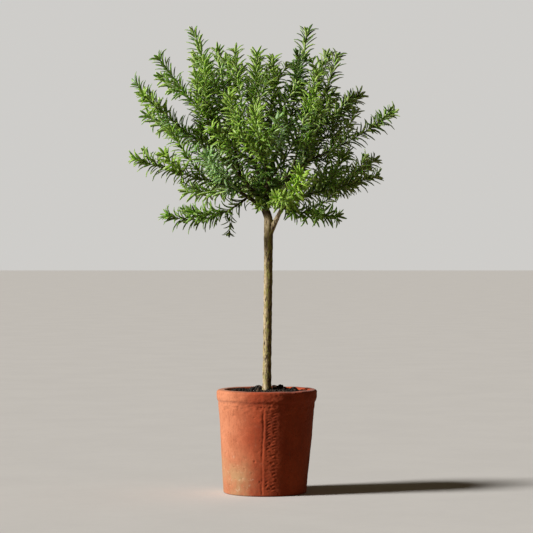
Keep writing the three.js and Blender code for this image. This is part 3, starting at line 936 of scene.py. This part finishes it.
print("directions square to the trunk at its foot:", frames_along(TRUNK_LINE, np.array([0.0]))[1].round(2))

# %% [markdown]
# Remeshing melts all the tubes into one skin, so that a bough grows out of the trunk with no crease,
# from the swollen collar that living wood has there. A few rounds of smoothing take the steps of the
# voxels out, and the relief is then pushed into that skin along its own normals.

# %% One skin, with its relief
BARK_VOXEL = 0.62
SOFTEN = {"factor": 0.5, "rounds": 4}
KNOBS = [(0.55, 13, 3, 1), (0.3, 6, 11, 1)]
FLAKES = [(0.16, 1.3, 8, 2)]
FISSURES = {"depth": 0.4, "size": 2.6, "seed": 5, "drawn": 4.5, "width": 0.16}
TRUNK_REACH = 9
BOUGH_RELIEF = 0.55


def melted(mesh, voxel):
    """One skin round everything in a mesh."""
    obj = put("to_melt", mesh)
    remesh = obj.modifiers.new("melt", "REMESH")
    remesh.mode = "VOXEL"
    remesh.voxel_size = voxel * MM
    soften = obj.modifiers.new("soften", "SMOOTH")
    soften.factor = SOFTEN["factor"]
    soften.iterations = SOFTEN["rounds"]
    seen = obj.evaluated_get(bpy.context.evaluated_depsgraph_get())
    skin = bpy.data.meshes.new_from_object(seen)
    bpy.data.objects.remove(obj)
    bpy.data.meshes.remove(mesh)
    return skin


def bark_relief(x, y, z, share):
    """How far the bark stands out at a place, in millimetres. A bough has a smaller share of it."""
    ribs = abs(lump(x, y, z / FISSURES["drawn"], FISSURES["size"], FISSURES["seed"]))
    fissure = -FISSURES["depth"] * (1 - smooth(0.0, FISSURES["width"], ribs))
    return share * (layered(x, y, z, KNOBS) + fissure + layered(x, y, z, FLAKES))


def bark_mesh():
    skin = melted(limbs_mesh(), BARK_VOXEL)
    places, outward = np.empty((2, len(skin.vertices), 3), np.float32)
    skin.vertices.foreach_get("co", places.ravel())
    skin.vertices.foreach_get("normal", outward.ravel())
    push = np.empty(len(skin.vertices))
    for number, (x, y, z) in enumerate(places / MM):
        share = 1.0 if math.hypot(x - 4, y) < TRUNK_REACH else BOUGH_RELIEF
        above_ground = smooth(TRUNK["ground"] - 2, TRUNK["ground"] + 2, z)
        push[number] = bark_relief(x, y, z, share) * above_ground
    skin.vertices.foreach_set("co", (places + outward * push[:, None] * MM).ravel())
    return skin


bark_skin = bark_mesh()
print("corners of the bark:", len(bark_skin.vertices))

# %% [markdown]
# The finish is laid on layer by layer. Beige and brown bark is the ground. The side away from the sun
# is painted dark below the fork, as painted shade, with an edge broken up by the fissures. Moss turns
# stretches of it olive, most in that painted shade and at the foot. The one bough that leaves on the
# right is painted pale, as painted light, and all other wood above the fork is painted dark, as the
# painted shade of the crown. The fissures are near black in all of it. Their noise drives both colour
# and bump, so that the two agree.

# %% Bark finish
BARK_PALE = (0.62, 0.52, 0.35)
BARK_BROWN = (0.27, 0.195, 0.088)
BARK_MOSS = (0.29, 0.29, 0.075)
# The next two colours are painted shade: the side away from the lamp, and the wood under the crown.
BARK_PAINTED_SHADE = (0.115, 0.082, 0.026)
BARK_CROWN_SHADE = (0.055, 0.042, 0.022)
BARK_FISSURE = (0.045, 0.03, 0.016)
BARK_SCALES = (230.0, 1700.0)
BARK_NOISES = {"fissure": (0.22, 420.0, 3.0), "moss": (0.5, 210.0, 4.0, 0.7)}
BARK_MASKS = {"moss": (0.48, 0.58), "crack": (0.37, 0.46), "above_fork": (0.408, 0.420),
              "lit_bough_side": (0.0120, 0.0135), "lit_bough_from": (0.386, 0.390), "lit_bough_to": (0.436, 0.448),
              "shade_side": (0.0, 0.0055), "shade_to": (0.385, 0.400), "foot": (0.165, 0.215)}
BARK_SHARES = {"painted_shade": 0.85, "unshaded": 0.85, "in_deep_shade": 0.9}
MOSS_SHARES = {"on_painted_shade": 0.45, "anywhere": 0.42, "foot": 0.2}
BROKEN_EDGE = 0.012


def bark():
    material, tree, shader, place = finish("bark", 0.78, 0.3)
    right, _, up = axes_of(tree, place)
    grain, masked, over = layering(tree, place, BARK_NOISES, BARK_MASKS, BARK_SHARES)

    def below(part):
        return all_but(tree, masked(up, part))

    base = mottled(tree, drawn_up(tree, place, 0.6), BARK_PALE, BARK_BROWN, *BARK_SCALES)
    fissure = grain("fissure")
    # Painted shade: the right side of the wood below the fork is darkened, with an edge broken by fissures.
    edge = plus(tree, right, times(tree, plus(tree, fissure, -0.5), BROKEN_EDGE))
    painted_shade = times(tree, masked(edge, "shade_side"), below("shade_to"))
    colour = over(base["Colour"], painted_shade, "painted_shade", BARK_PAINTED_SHADE)
    moss = masked(grain("moss"), "moss")
    mossy = plus(tree, times(tree, painted_shade, MOSS_SHARES["on_painted_shade"]), MOSS_SHARES["anywhere"])
    mossy = plus(tree, mossy, times(tree, below("foot"), MOSS_SHARES["foot"]), clamp=True)
    colour = mixed(tree, times(tree, moss, mossy), colour, BARK_MOSS)
    # Painted light: the bough that leaves on the right is painted pale.
    unshaded = times(tree, masked(right, "lit_bough_side"), below("lit_bough_to"))
    colour = over(colour, times(tree, unshaded, masked(up, "lit_bough_from")), "unshaded", BARK_PALE)
    # Painted shade of the crown: the wood above the fork is darkened.
    in_deep_shade = times(tree, masked(up, "above_fork"), all_but(tree, unshaded))
    colour = over(colour, in_deep_shade, "in_deep_shade", BARK_CROWN_SHADE)
    cracked = all_but(tree, masked(fissure, "crack"))
    feed(tree, shader.inputs["Base Color"], mixed(tree, cracked, colour, BARK_FISSURE))
    height = plus(tree, times(tree, base["Height"], 0.5), fissure)
    bumped(tree, shader, height, 0.8, 0.5)
    return material


limb_nodes = ["trunk"] + [f"bough_{name}" for name in BOUGHS]
piece_from(bark_skin, "trunk_and_boughs", limb_nodes, [bark()])

# %% [markdown]
# ## How the shoots grow
#
# Each mass of foliage has one stem. Its row gives its green, the limb it leaves and how far along, the
# azimuth, distance and height of its tip, how far it bends, and the angle round it that its side shoots
# are counted from. They leave the stem in turn by the golden angle and bend up towards the light. One
# is kept only where it stays inside the crown, below its ceiling, and clear of the other masses and
# the limbs, and only the two trailing masses may have shoots that hang. Otherwise the next angle is
# tried. All the stems are laid out first, so that a shoot knows what it has to keep clear of. This is
# the source's rule, number for number.

# %% Stems
# The dark green goes only to masses at the back or on the right, away from the lamp: painted shade.
MASSES = {
    "left_trailing": ("mid", "left_low", 0.5, 188, 147, 415, -34, 240),
    "left_low": ("bright", "left_low", 1, 192, 197, 498, -4, 180),
    "left_front_low": ("cool", "left_low", 0.85, 234, 142, 500, -12, 10),
    "left_middle": ("cool", "left", 1, 183, 196, 613, -18, 290),
    "left_back_high": ("dark", "left", 0.66, 134, 108, 665, -20, 100),
    "left_high": ("mid", "top_left", 0.36, 173, 162, 650, -20, 330),
    "top_back": ("mid", "top_left", 0.6, 108, 50, 659, -14, 50),
    "top_left_inner": ("bright", "top_left", 0.7, 211, 55, 656, -22, 260),
    "top_left": ("cool", "top_left", 1, 161, 121, 703, -28, 10),
    "top_middle": ("bright", "trunk", 1, 307, 15, 646, 0, 50),
    "top_right": ("dark", "top_right", 1, 0, 60, 688, -6, 60),
    "top_right_back": ("dark", "top_right", 0.75, 32, 107, 659, -12, 340),
    "right_high": ("dark", "right", 0.8, 3, 105, 653, -14, 110),
    "right_front_high": ("bright", "right", 0.62, 327, 86, 618, -14, 50),
    "right_middle": ("mid", "right", 1, 356, 188, 568, -10, 270),
    "right_back_high": ("dark", "back_right", 0.62, 21, 139, 591, -14, 350),
    "right_low": ("mid", "right_low", 1, 345, 165, 473, -6, 10),
    "right_back_low": ("mid", "right_low", 0.88, 8, 161, 497, -14, 290),
    "right_trailing": ("mid", "right_low", 0.74, 325, 122, 414, -6, 270),
    "front_right": ("lime", "right_low", 0.8, 292, 130, 471, -16, 80),
    "front_middle": ("bright", "front", 1, 262, 120, 556, -14, 60),
    "front_right_high": ("dark", "front", 0.82, 297, 124, 556, -16, 0),
    "front_left_high": ("bright", "front", 0.6, 236, 98, 588, -14, 100),
    "back_right_low": ("mid", "back_right", 0.82, 40, 168, 462, -10, 0),
    "back_right_middle": ("cool", "back_right", 1, 62, 154, 566, -14, 0),
    "back_low": ("dark", "back_left", 0.62, 92, 172, 480, -14, 60),
    "back_left_low": ("mid", "back_left", 0.8, 136, 170, 455, -10, 330),
    "back_left_middle": ("bright", "back_left", 1, 122, 158, 574, -14, 220),
    "back_high": ("mid", "trunk", 0.85, 82, 104, 632, -18, 140),
}
STEM_RADII = (1.9, 1.2)

shoots = {
    name: [arch(LIMBS[limb].at(at), place_of(azimuth, reach, top), bend, STEM_RADII)]
    for name, (_, limb, at, azimuth, reach, top, bend, _) in MASSES.items()
}
print("stems:", len(shoots), "mm of stem:", round(sum(arc[0].length() for arc in shoots.values())))


# %% What a shoot keeps clear of
CROWN = {"reach": 204, "middle": 520, "half_height": 188, "squareness": 2.6}
TEST_SHARES = np.array([0.3, 0.5, 0.7, 0.85, 1])


def points_of(arcs):
    return np.concatenate([arc.samples()[0] for arc in arcs])


def nearest(points, others, radii=0):
    """For each point, how far the nearest of the others is, or the skin round it."""
    away = np.sqrt(((points[:, None] - others[None]) ** 2).sum(-1))
    return (away - radii).min(1)


def limb_gap(points):
    """For each point, how far it is from the skin of the nearest limb."""
    return nearest(points, LIMB_POINTS, LIMB_RADII)


def inside_crown(points, margin=0.0):
    out = np.hypot(points[:, 0] - TRUNK["foot_x"], points[:, 1]) / (CROWN["reach"] + margin)
    high = np.abs(points[:, 2] - CROWN["middle"]) / (CROWN["half_height"] + margin)
    return out ** CROWN["squareness"] + high ** CROWN["squareness"] < 1


def has_room(arc, name, sisters, gaps):
    """Whether a new shoot of a mass keeps its distance. Each gap is in millimetres, and counts from
    one of the test points on, so that a shoot may start close to what it grows from."""
    points = arc.at(TEST_SHARES)
    others = points_of([arc for other, arcs in shoots.items() if other != name for arc in arcs])
    (from_others, other_gap), (from_sisters, sister_gap), (from_limbs, skin_gap) = gaps
    return bool(
        inside_crown(points).all()
        and (nearest(points[from_others:], others) > other_gap).all()
        and (nearest(points[from_sisters:], points_of(sisters)) > sister_gap).all()
        and (limb_gap(points[from_limbs:]) > skin_gap).all()
    )


print("gap from the tip of the first stem to the limbs:",
      limb_gap(shoots["left_trailing"][0].at([1.0])).round(1), "mm")

# %% Side shoots
SHOOT = {"every": 60, "stretch": (0.24, 0.76), "share": 0.46, "taper_from": 1.25, "spread": 34,
         "spread_range": 16, "lift": 0.16, "ceiling": 654, "tries": 9}
SHOOT_GAPS = ((0, 13), (1, 9), (0, 6.5))
SHOOT_RADII = (1.1, 1.1)
GOLDEN_ANGLE = math.pi * (3 - math.sqrt(5))


def side_shoot(stem, at, around, spread, length, radii=SHOOT_RADII):
    """A shoot that leaves a stem at an angle and turns up."""
    tangent = stem.heading(at)
    side = np.array([-tangent[1], tangent[0], 0.0])
    side = unit(side) if np.linalg.norm(side) > 1e-3 else np.array([1.0, 0.0, 0.0])
    away = math.cos(around) * side + math.sin(around) * np.cross(tangent, side)
    heading = math.sin(spread) * away + math.cos(spread) * tangent
    root = stem.at(at)
    tip = root + heading * length + UP * SHOOT["lift"] * length
    return Arc(root, root + heading * length / 2, tip, radii)


def shoot_fits(arc, name):
    hangs = arc.end[2] < arc.start[2]
    if arc.end[2] > SHOOT["ceiling"] or (hangs and not name.endswith("trailing")):
        return False
    return has_room(arc, name, shoots[name], SHOOT_GAPS)


def grow_shoots(name, index):
    draw = draws(index)
    stem = shoots[name][0]
    length = stem.length()
    count = math.floor(length / SHOOT["every"] + 0.5)
    around = math.radians(MASSES[name][-1])
    for number in range(count):
        at = between(SHOOT["stretch"], (number + draw()) / count)
        spread = math.radians(SHOOT["spread"] + SHOOT["spread_range"] * draw())
        long = length * SHOOT["share"] * (SHOOT["taper_from"] - at) * (0.85 + 0.4 * draw())
        for _ in range(SHOOT["tries"]):
            around += GOLDEN_ANGLE
            arc = side_shoot(stem, at, around, spread, long)
            if shoot_fits(arc, name):
                shoots[name].append(arc)
                break


for index, name in enumerate(MASSES):
    grow_shoots(name, index)
print("shoots in all:", sum(len(arcs) for arcs in shoots.values()))

# %% [markdown]
# ## Finer sprigs
#
# The solids stop at the side shoots. The real plant goes one step finer: short sprigs fill the heart
# of the crown, while the outer shoots stay single, with sky between them. So sprigs come by the same
# rule, but shorter and closer together, and the chance of one falls off with the distance from the
# heart. A bough that ends in a mass carries sprigs too, but for two that stay bare. The photograph
# shows two more things that no rule would give: one sprig hangs straight down under the trailing
# shoot on the left, and short ones stand on the front of the trunk above the fork, where the green
# starts. Both are set last, so that nothing grows on them.

# %% Sprigs
SPRIG = {"every": 60, "lowest": 0.1, "stretch": 0.8, "long": (24, 42), "spread": (30, 50), "tries": 5,
         "heart": np.array([3, 0, 470]), "full": 10, "none": 120}
SPRIG_GAPS = ((2, 13), (2, 12), (1, 2.5))
SPRIG_RADII = (0.8, 0.7)
BARE_BEARERS = ("top_middle", "right_low")

bearers = {name: LIMBS[limb] for name, (_, limb, at, *_) in MASSES.items() if at == 1}


def grow_sprigs(parents, name, index):
    """Short sprigs from a mass's shoots and from the bough that ends in it."""
    draw = draws(3000 + index)
    grown = []
    for parent in parents:
        count = round(parent.length() / SPRIG["every"])
        around = 2 * math.pi * draw()
        for number in range(count):
            at = SPRIG["lowest"] + SPRIG["stretch"] * (number + draw()) / count
            chance, long, spread = draw(), between(SPRIG["long"], draw()), between(SPRIG["spread"], draw())
            away = np.linalg.norm(parent.at(at) - SPRIG["heart"])
            if chance < smooth(SPRIG["full"], SPRIG["none"], away):
                continue
            for _ in range(SPRIG["tries"]):
                around += GOLDEN_ANGLE
                arc = side_shoot(parent, at, around, math.radians(spread), long, SPRIG_RADII)
                if has_room(arc, name, shoots[name] + grown, SPRIG_GAPS):
                    grown.append(arc)
                    break
    return grown


shoots_before = sum(len(arcs) for arcs in shoots.values())
for index, name in enumerate(MASSES):
    bearer = [bearers[name]] if name in bearers and name not in BARE_BEARERS else []
    shoots[name] += grow_sprigs(bearer + shoots[name], name, index)
print("sprigs by the rule:", sum(len(arcs) for arcs in shoots.values()) - shoots_before)

# %% Sprigs set one by one
HANGING = {"mass": "left_trailing", "at": 0.22, "long": 34, "outwards": -2, "bend": 2}
ON_TRUNK = {"mass": "front_middle", "heights": (424, 466), "count": 11, "azimuths": (258, 345),
            "long": (26, 38), "lift": 0.1, "bend": 3}
GOLDEN_SHARE = 0.382


def hanging_sprig():
    """The one sprig that hangs under the trailing shoot on the left."""
    root = shoots[HANGING["mass"]][0].at(HANGING["at"])
    tip = root + np.array([HANGING["outwards"], 0, -HANGING["long"]])
    return arch(root, tip, HANGING["bend"], SPRIG_RADII)


def trunk_sprigs():
    """Short sprigs on the front of the trunk above the fork, where the green starts."""
    draw = draws(4000)
    grown = []
    for number in range(ON_TRUNK["count"]):
        height = between(ON_TRUNK["heights"], (number + draw()) / ON_TRUNK["count"])
        angle = math.radians(between(ON_TRUNK["azimuths"], number * GOLDEN_SHARE % 1))
        root, long = TRUNK_LINE.at_height(height), between(ON_TRUNK["long"], draw())
        tip = root + long * np.array([math.cos(angle), math.sin(angle), ON_TRUNK["lift"]])
        grown.append(arch(root, tip, ON_TRUNK["bend"], SPRIG_RADII))
    return grown


shoots[HANGING["mass"]].append(hanging_sprig())
shoots[ON_TRUNK["mass"]] += trunk_sprigs()
print("shoots and sprigs in all:", sum(len(arcs) for arcs in shoots.values()))

# %% [markdown]
# ## Twigs
#
# Under the needles run the twigs: brown where they leave the bough, green towards the tips, with a
# slight swelling every few millimetres. They are thin tubes again, joined for each mass.

# %% Twig meshes
TWIG_BROWN_UNTIL = 0.3
TWIG_AROUND, TWIG_RING = 6, 2.5
KNUCKLE_STEP = 5.0
KNUCKLE = 0.14
SLIMMER = 0.4


def knuckled(arc):
    """A twig's radius with a small swelling every few millimetres."""
    knots = arc.length() / KNUCKLE_STEP

    def radius_at(t):
        slim = arc.radius(t) * (1 - SLIMMER * smooth(0, 0.5, t))
        return slim * (1 + KNUCKLE * np.cos(2 * np.pi * t * knots))

    return radius_at


def twigs_mesh(name):
    """All twigs of a mass. The first finish is brown, for the foot of its stem, and the second green."""
    bm = bmesh.new()
    green = set()
    for number, arc in enumerate(shoots[name]):
        rings = max(6, round(arc.length() / TWIG_RING))
        for face, share in tube(bm, arc, TWIG_AROUND, rings, knuckled(arc)):
            if number > 0 or share > TWIG_BROWN_UNTIL:
                green.add(face)
    for face in green:
        face.material_index = 1
    return mesh_from(bm, close=True)


TWIG_COLOURS = {"twig_brown": ((0.075, 0.058, 0.030), (0.034, 0.027, 0.014)),
                "twig_green": ((0.15, 0.19, 0.070), (0.065, 0.095, 0.030))}
TWIG_VALUES = {"roughness": 0.55, "specular": 0.4, "scales": (300.0, 1800.0), "bump": (0.5, 0.3)}
TWIGS = [plain_finish(name, colours, **TWIG_VALUES)[0] for name, colours in TWIG_COLOURS.items()]
print("twig finishes:", [material.name for material in TWIGS])

# %% [markdown]
# ## One needle
#
# A rosemary needle is a narrow blade, grooved along its top and paler beneath, that arches outwards
# to a blunt point. It is a small grid, rolled up into a six-cornered section that widens and narrows
# along its length. Its two ends are filled and poked to points. That comes to thirty faces, and every
# needle of the plant is a bent copy of this one.

# %% Needle shape
NEEDLE_WIDTH = 4.2
NEEDLE_SECTION = [(-1.0, 0.0), (-0.5, 0.42), (0.0, 0.24), (0.5, 0.42), (1.0, 0.0), (0.0, -0.34)]
NEEDLE_STATIONS = [(0.04, 0.42), (0.34, 0.95), (0.68, 0.92), (0.92, 0.52)]


def needle_shape():
    """Corners as share along, across and up, faces, and which faces are beneath."""
    bm = bmesh.new()
    around, rings = len(NEEDLE_SECTION), len(NEEDLE_STATIONS) - 1
    for corner in bmesh.ops.create_grid(bm, x_segments=around, y_segments=rings, size=1)["verts"]:
        across, up = NEEDLE_SECTION[round((corner.co.x + 1) / 2 * around) % around]
        station, width = NEEDLE_STATIONS[round((corner.co.y + 1) / 2 * rings)]
        corner.co = (station, across * width, up * width)
    bmesh.ops.remove_doubles(bm, verts=bm.verts, dist=1e-4)
    ends = bmesh.ops.holes_fill(bm, edges=bm.edges)["faces"]
    for pole in bmesh.ops.poke(bm, faces=ends)["verts"]:
        pole.co = (round(pole.co.x), 0, 0)
    bmesh.ops.recalc_face_normals(bm, faces=bm.faces)
    bm.verts.index_update()
    corners = np.array([v.co[:] for v in bm.verts])
    faces = [[v.index for v in f.verts] for f in bm.faces]
    beneath = [f.calc_center_median().z < -0.02 for f in bm.faces]
    bm.free()
    return corners, faces, beneath


NEEDLE_CORNERS, NEEDLE_FACES, NEEDLE_BENEATH = needle_shape()
print("needle:", len(NEEDLE_CORNERS), "corners,", len(NEEDLE_FACES), "faces,", sum(NEEDLE_BENEATH), "beneath")

# %% [markdown]
# ## Setting the needles
#
# Needles come one after another round the shoot by the golden angle. Each leaves close to the shoot
# and then arches outwards, away from it. Low on a shoot they stand wider and are long, and towards its
# tip they close up into a tuft. On a short sprig they are shorter and further apart. Each is turned
# and bent a little differently, by the seeded draws. Numpy bends all the needles of a shoot at once,
# which is much quicker than one by one.

# %% Needles on a shoot
SET = {"pitches": (2.2, 1.5), "root_angle": 40, "tip_angle": 28, "angle_jitter": 12, "length": (18.0, 26.0),
       "short_tip": 0.8, "arch": 44, "arch_jitter": 30, "roll": 30, "tuft": 6, "on_sprig": 0.6,
       "full_size": (25, 75), "rooted": 0.6}


def bent_needles(roots, headings, ups, lengths, arches, widths):
    """Corners of many needles at once: roots and directions in, an array of corners out."""
    along, across, up = NEEDLE_CORNERS.T
    turn_by = arches[:, None] * along[None]
    safe = np.where(np.abs(arches) < 1e-3, 1e-3, arches)[:, None]
    lift = up * widths[:, None] / 2
    forward = lengths[:, None] * np.sin(safe * along) / safe + lift * np.sin(turn_by)
    outward = lengths[:, None] * (1 - np.cos(safe * along)) / safe - lift * np.cos(turn_by)
    wide = across * widths[:, None] / 2
    sides = np.cross(headings, ups)
    return (roots[:, None] + forward[..., None] * headings[:, None] - outward[..., None] * ups[:, None]
            + wide[..., None] * sides[:, None])


def jitter(chance):
    """From -1 to 1 where the chance goes from 0 to 1."""
    return 2 * chance - 1


def needles_on(arc, draw, bare):
    """The numbers of every needle on one shoot, past the share of it that is bare."""
    length = arc.length()
    full_size = smooth(*SET["full_size"], length)
    count = max(3, round(length * (1 - bare) / between(SET["pitches"], full_size)))
    ring = np.arange(count + SET["tuft"])
    t = np.minimum(bare + (1 - bare) * ring / count, 1.0)
    chance = np.array([[draw() for _ in range(6)] for _ in ring]).T
    headings, sides, others = frames_along(arc, t)
    around = ring * GOLDEN_ANGLE + 2 * math.pi * draw()
    radial = np.cos(around)[:, None] * sides + np.sin(around)[:, None] * others
    angle = between((SET["root_angle"], SET["tip_angle"]), smooth(0.7, 1.0, t))
    angle = np.radians(angle + SET["angle_jitter"] * jitter(chance[0]))[:, None]
    heading = np.cos(angle) * headings + np.sin(angle) * radial
    up = np.sin(angle) * headings - np.cos(angle) * radial
    roll = (np.radians(SET["roll"]) * jitter(chance[1]))[:, None]
    up = np.cos(roll) * up + np.sin(roll) * np.cross(heading, up)
    lengths = between(SET["length"], chance[2]) * (1 - (1 - SET["short_tip"]) * smooth(0.8, 1.0, t))
    lengths *= 0.75 + 0.25 * smooth(0, 0.15, t)
    lengths *= between((SET["on_sprig"], 1), full_size)
    arches = np.radians(SET["arch"] + SET["arch_jitter"] * jitter(chance[3]))
    widths = NEEDLE_WIDTH * (0.85 + 0.3 * chance[4]) * (0.85 + 0.15 * full_size)
    roots = arc.at(t) + radial * arc.radius(t)[:, None] * SET["rooted"]
    return roots, heading, up, lengths, arches, widths


print("a shoot of 100 mm has about", round(100 / SET["pitches"][1]), "needles")

# %% [markdown]
# ## Greens
#
# The crown isn't one green. Some sprays are young and almost lime, some are deep, and some are a grey
# sage where the light skims them. A pattern laid over the whole crown would fall anywhere once the
# pieces are joined, so the greens are dealt out instead. A mass's stem takes the first green of its
# hand, each other spray takes one of them by the draws, and the undersides of all needles take a paler
# one. Only masses at the back or on the right, away from the lamp, get the dark hand: painted shade.
# Deep in the heart of the crown there are fewer needles, and many of those are painted deep green as
# painted shade. The shared pattern only mottles each a little. Light shines through a leaf, so the
# shader has a short subsurface too.

# %% Leaf finishes
LEAF_COLOURS = {
    "deep": ((0.105, 0.205, 0.040), (0.048, 0.105, 0.021)),
    "mid": ((0.215, 0.375, 0.058), (0.100, 0.195, 0.030)),
    "fresh": ((0.320, 0.490, 0.078), (0.165, 0.290, 0.042)),
    "lime": ((0.360, 0.560, 0.074), (0.215, 0.370, 0.042)),
    "sage": ((0.310, 0.490, 0.205), (0.155, 0.275, 0.110)),
    "beneath": ((0.42, 0.56, 0.20), (0.24, 0.36, 0.11)),
}
ORDER = list(LEAF_COLOURS)
LEAF_VALUES = {"specular": 0.45, "scales": (160.0, 900.0), "bump": (0.35, 0.25)}
LEAF_ROUGHNESS = {"beneath": 0.6}
USUAL_ROUGHNESS = 0.4
DEALS = {
    "mid": ["mid", "deep", "mid", "fresh"],
    "dark": ["deep", "mid", "deep", "sage"],
    "bright": ["fresh", "mid", "fresh", "fresh"],
    "cool": ["sage", "mid", "sage", "fresh"],
    "lime": ["lime", "fresh"],
}


def leaf(name):
    roughness = LEAF_ROUGHNESS.get(name, USUAL_ROUGHNESS)
    material, shader = plain_finish(f"needle_{name}", LEAF_COLOURS[name], roughness, **LEAF_VALUES)
    shader.inputs["Subsurface Weight"].default_value = 0.7
    shader.inputs["Subsurface Radius"].default_value = (0.7, 1.0, 0.25)
    shader.inputs["Subsurface Scale"].default_value = 0.003
    return material


LEAVES = [leaf(name) for name in ORDER]
print("leaf finishes:", [material.name for material in LEAVES])

# %% [markdown]
# ## Growing every mass
#
# A mass becomes two pieces, its needles and its twigs, and both stand for the same solid. A needle is
# left out where it would run into a limb, leave the crown or stand out past the solids' box. The
# boughs bear needles on their outer part, where a mass starts at their tip.

# %% Grow every mass
BOX_LOW, BOX_HIGH = np.array(CAD_BOX) / MM
BOX_SPARE = 6
CROWN_SPARE = 14
TIP_GAP, MIDDLE_GAP = 1.2, 0.8
HEART_THINNING_AND_SHADE = {"middle": np.array([6, 12, 500]), "in_deep_shade": 45, "unshaded": 110, "kept": 0.6}
BARE_SHOOT = 0.03
BARE_BOUGH = {"top_middle": 0.76, "right_low": 0.8, "left_low": 0.25, "front_middle": 0.1}
USUAL_BARE_BOUGH = 0.3


def clear_of_all(corners):
    """Which needles are clear of the limbs and inside both the crown and the box."""
    tips, middles = corners[:, np.argmax(NEEDLE_CORNERS[:, 0])], corners.mean(1)
    inside_box = ((tips > BOX_LOW - BOX_SPARE) & (tips < BOX_HIGH + BOX_SPARE)).all(1)
    off_limbs = (limb_gap(tips) > TIP_GAP) & (limb_gap(middles) > MIDDLE_GAP)
    return off_limbs & inside_crown(tips, CROWN_SPARE) & inside_box


def needles_mesh(name, draw):
    """All needles of a mass, each with its green. Gives the mesh and how many there are."""
    deal = DEALS[MASSES[name][0]]
    sprays = [(arc, BARE_SHOOT) for arc in shoots[name]]
    if name in bearers:
        sprays.append((bearers[name], BARE_BOUGH.get(name, USUAL_BARE_BOUGH)))
    copies, tints = [], []
    for number, (arc, bare) in enumerate(sprays):
        chance = draw()
        green = ORDER.index(deal[int(chance * len(deal))] if number else deal[0])
        numbers = needles_on(arc, draw, bare)
        corners, roots = bent_needles(*numbers), numbers[0]
        out_of_shade = smooth(HEART_THINNING_AND_SHADE["in_deep_shade"], HEART_THINNING_AND_SHADE["unshaded"], np.linalg.norm(roots - HEART_THINNING_AND_SHADE["middle"], axis=1))
        fate = np.array([draw() for _ in roots])
        keep = clear_of_all(corners) & (fate < between((HEART_THINNING_AND_SHADE["kept"], 1), out_of_shade))
        copies.append(corners[keep])
        # Needles near the heart take the deep green: painted shade.
        tints.append(np.where(fate[keep] > out_of_shade[keep], ORDER.index("deep"), green))
    needles, greens, under = np.concatenate(copies), np.concatenate(tints), ORDER.index("beneath")
    finishes = [under if beneath else int(green) for green in greens for beneath in NEEDLE_BENEATH]
    return joined(needles, [NEEDLE_FACES] * len(needles), finishes), len(needles)


needle_count = 0
for index, name in enumerate(MASSES):
    mesh, count = needles_mesh(name, draws(5000 + index))
    needle_count += count
    piece_from(mesh, f"needles_{name}", [f"foliage_{name}"], LEAVES)
    piece_from(twigs_mesh(name), f"twigs_{name}", [f"foliage_{name}"], TWIGS)
print("needles in all:", needle_count)

# %% [markdown]
# ## The floor
#
# A plain pale floor, well wider than the view, lies under the object and rides on no body. A floor
# as pale as that would throw light up into every shaded side of the plant, so towards the plant it
# counts as darker than it looks.

# %% Floor
FLOOR_HALF = 30000
FLOOR_SEEN = ((0.72, 0.72, 0.73), (0.69, 0.69, 0.70))
FLOOR_SCALES = (6.0, 60.0)
FLOOR_GIVEN = (0.26, 0.20, 0.16)


def floor_mesh():
    bm = bmesh.new()
    bmesh.ops.create_grid(bm, x_segments=1, y_segments=1, size=FLOOR_HALF)
    return mesh_from(bm)


def floor_finish():
    material, tree, shader, place = finish("floor", 0.9, 0.2)
    pattern = mottled(tree, place, *FLOOR_SEEN, *FLOOR_SCALES)
    looked_at = node_with(tree, "LightPath", {})["Is Camera Ray"]
    feed(tree, shader.inputs["Base Color"], mixed(tree, looked_at, FLOOR_GIVEN, pattern["Colour"]))
    return material


floor = put("floor", floor_mesh())
floor.data.materials.append(floor_finish())
print("floor", tuple(round(d) for d in floor.dimensions), "m")
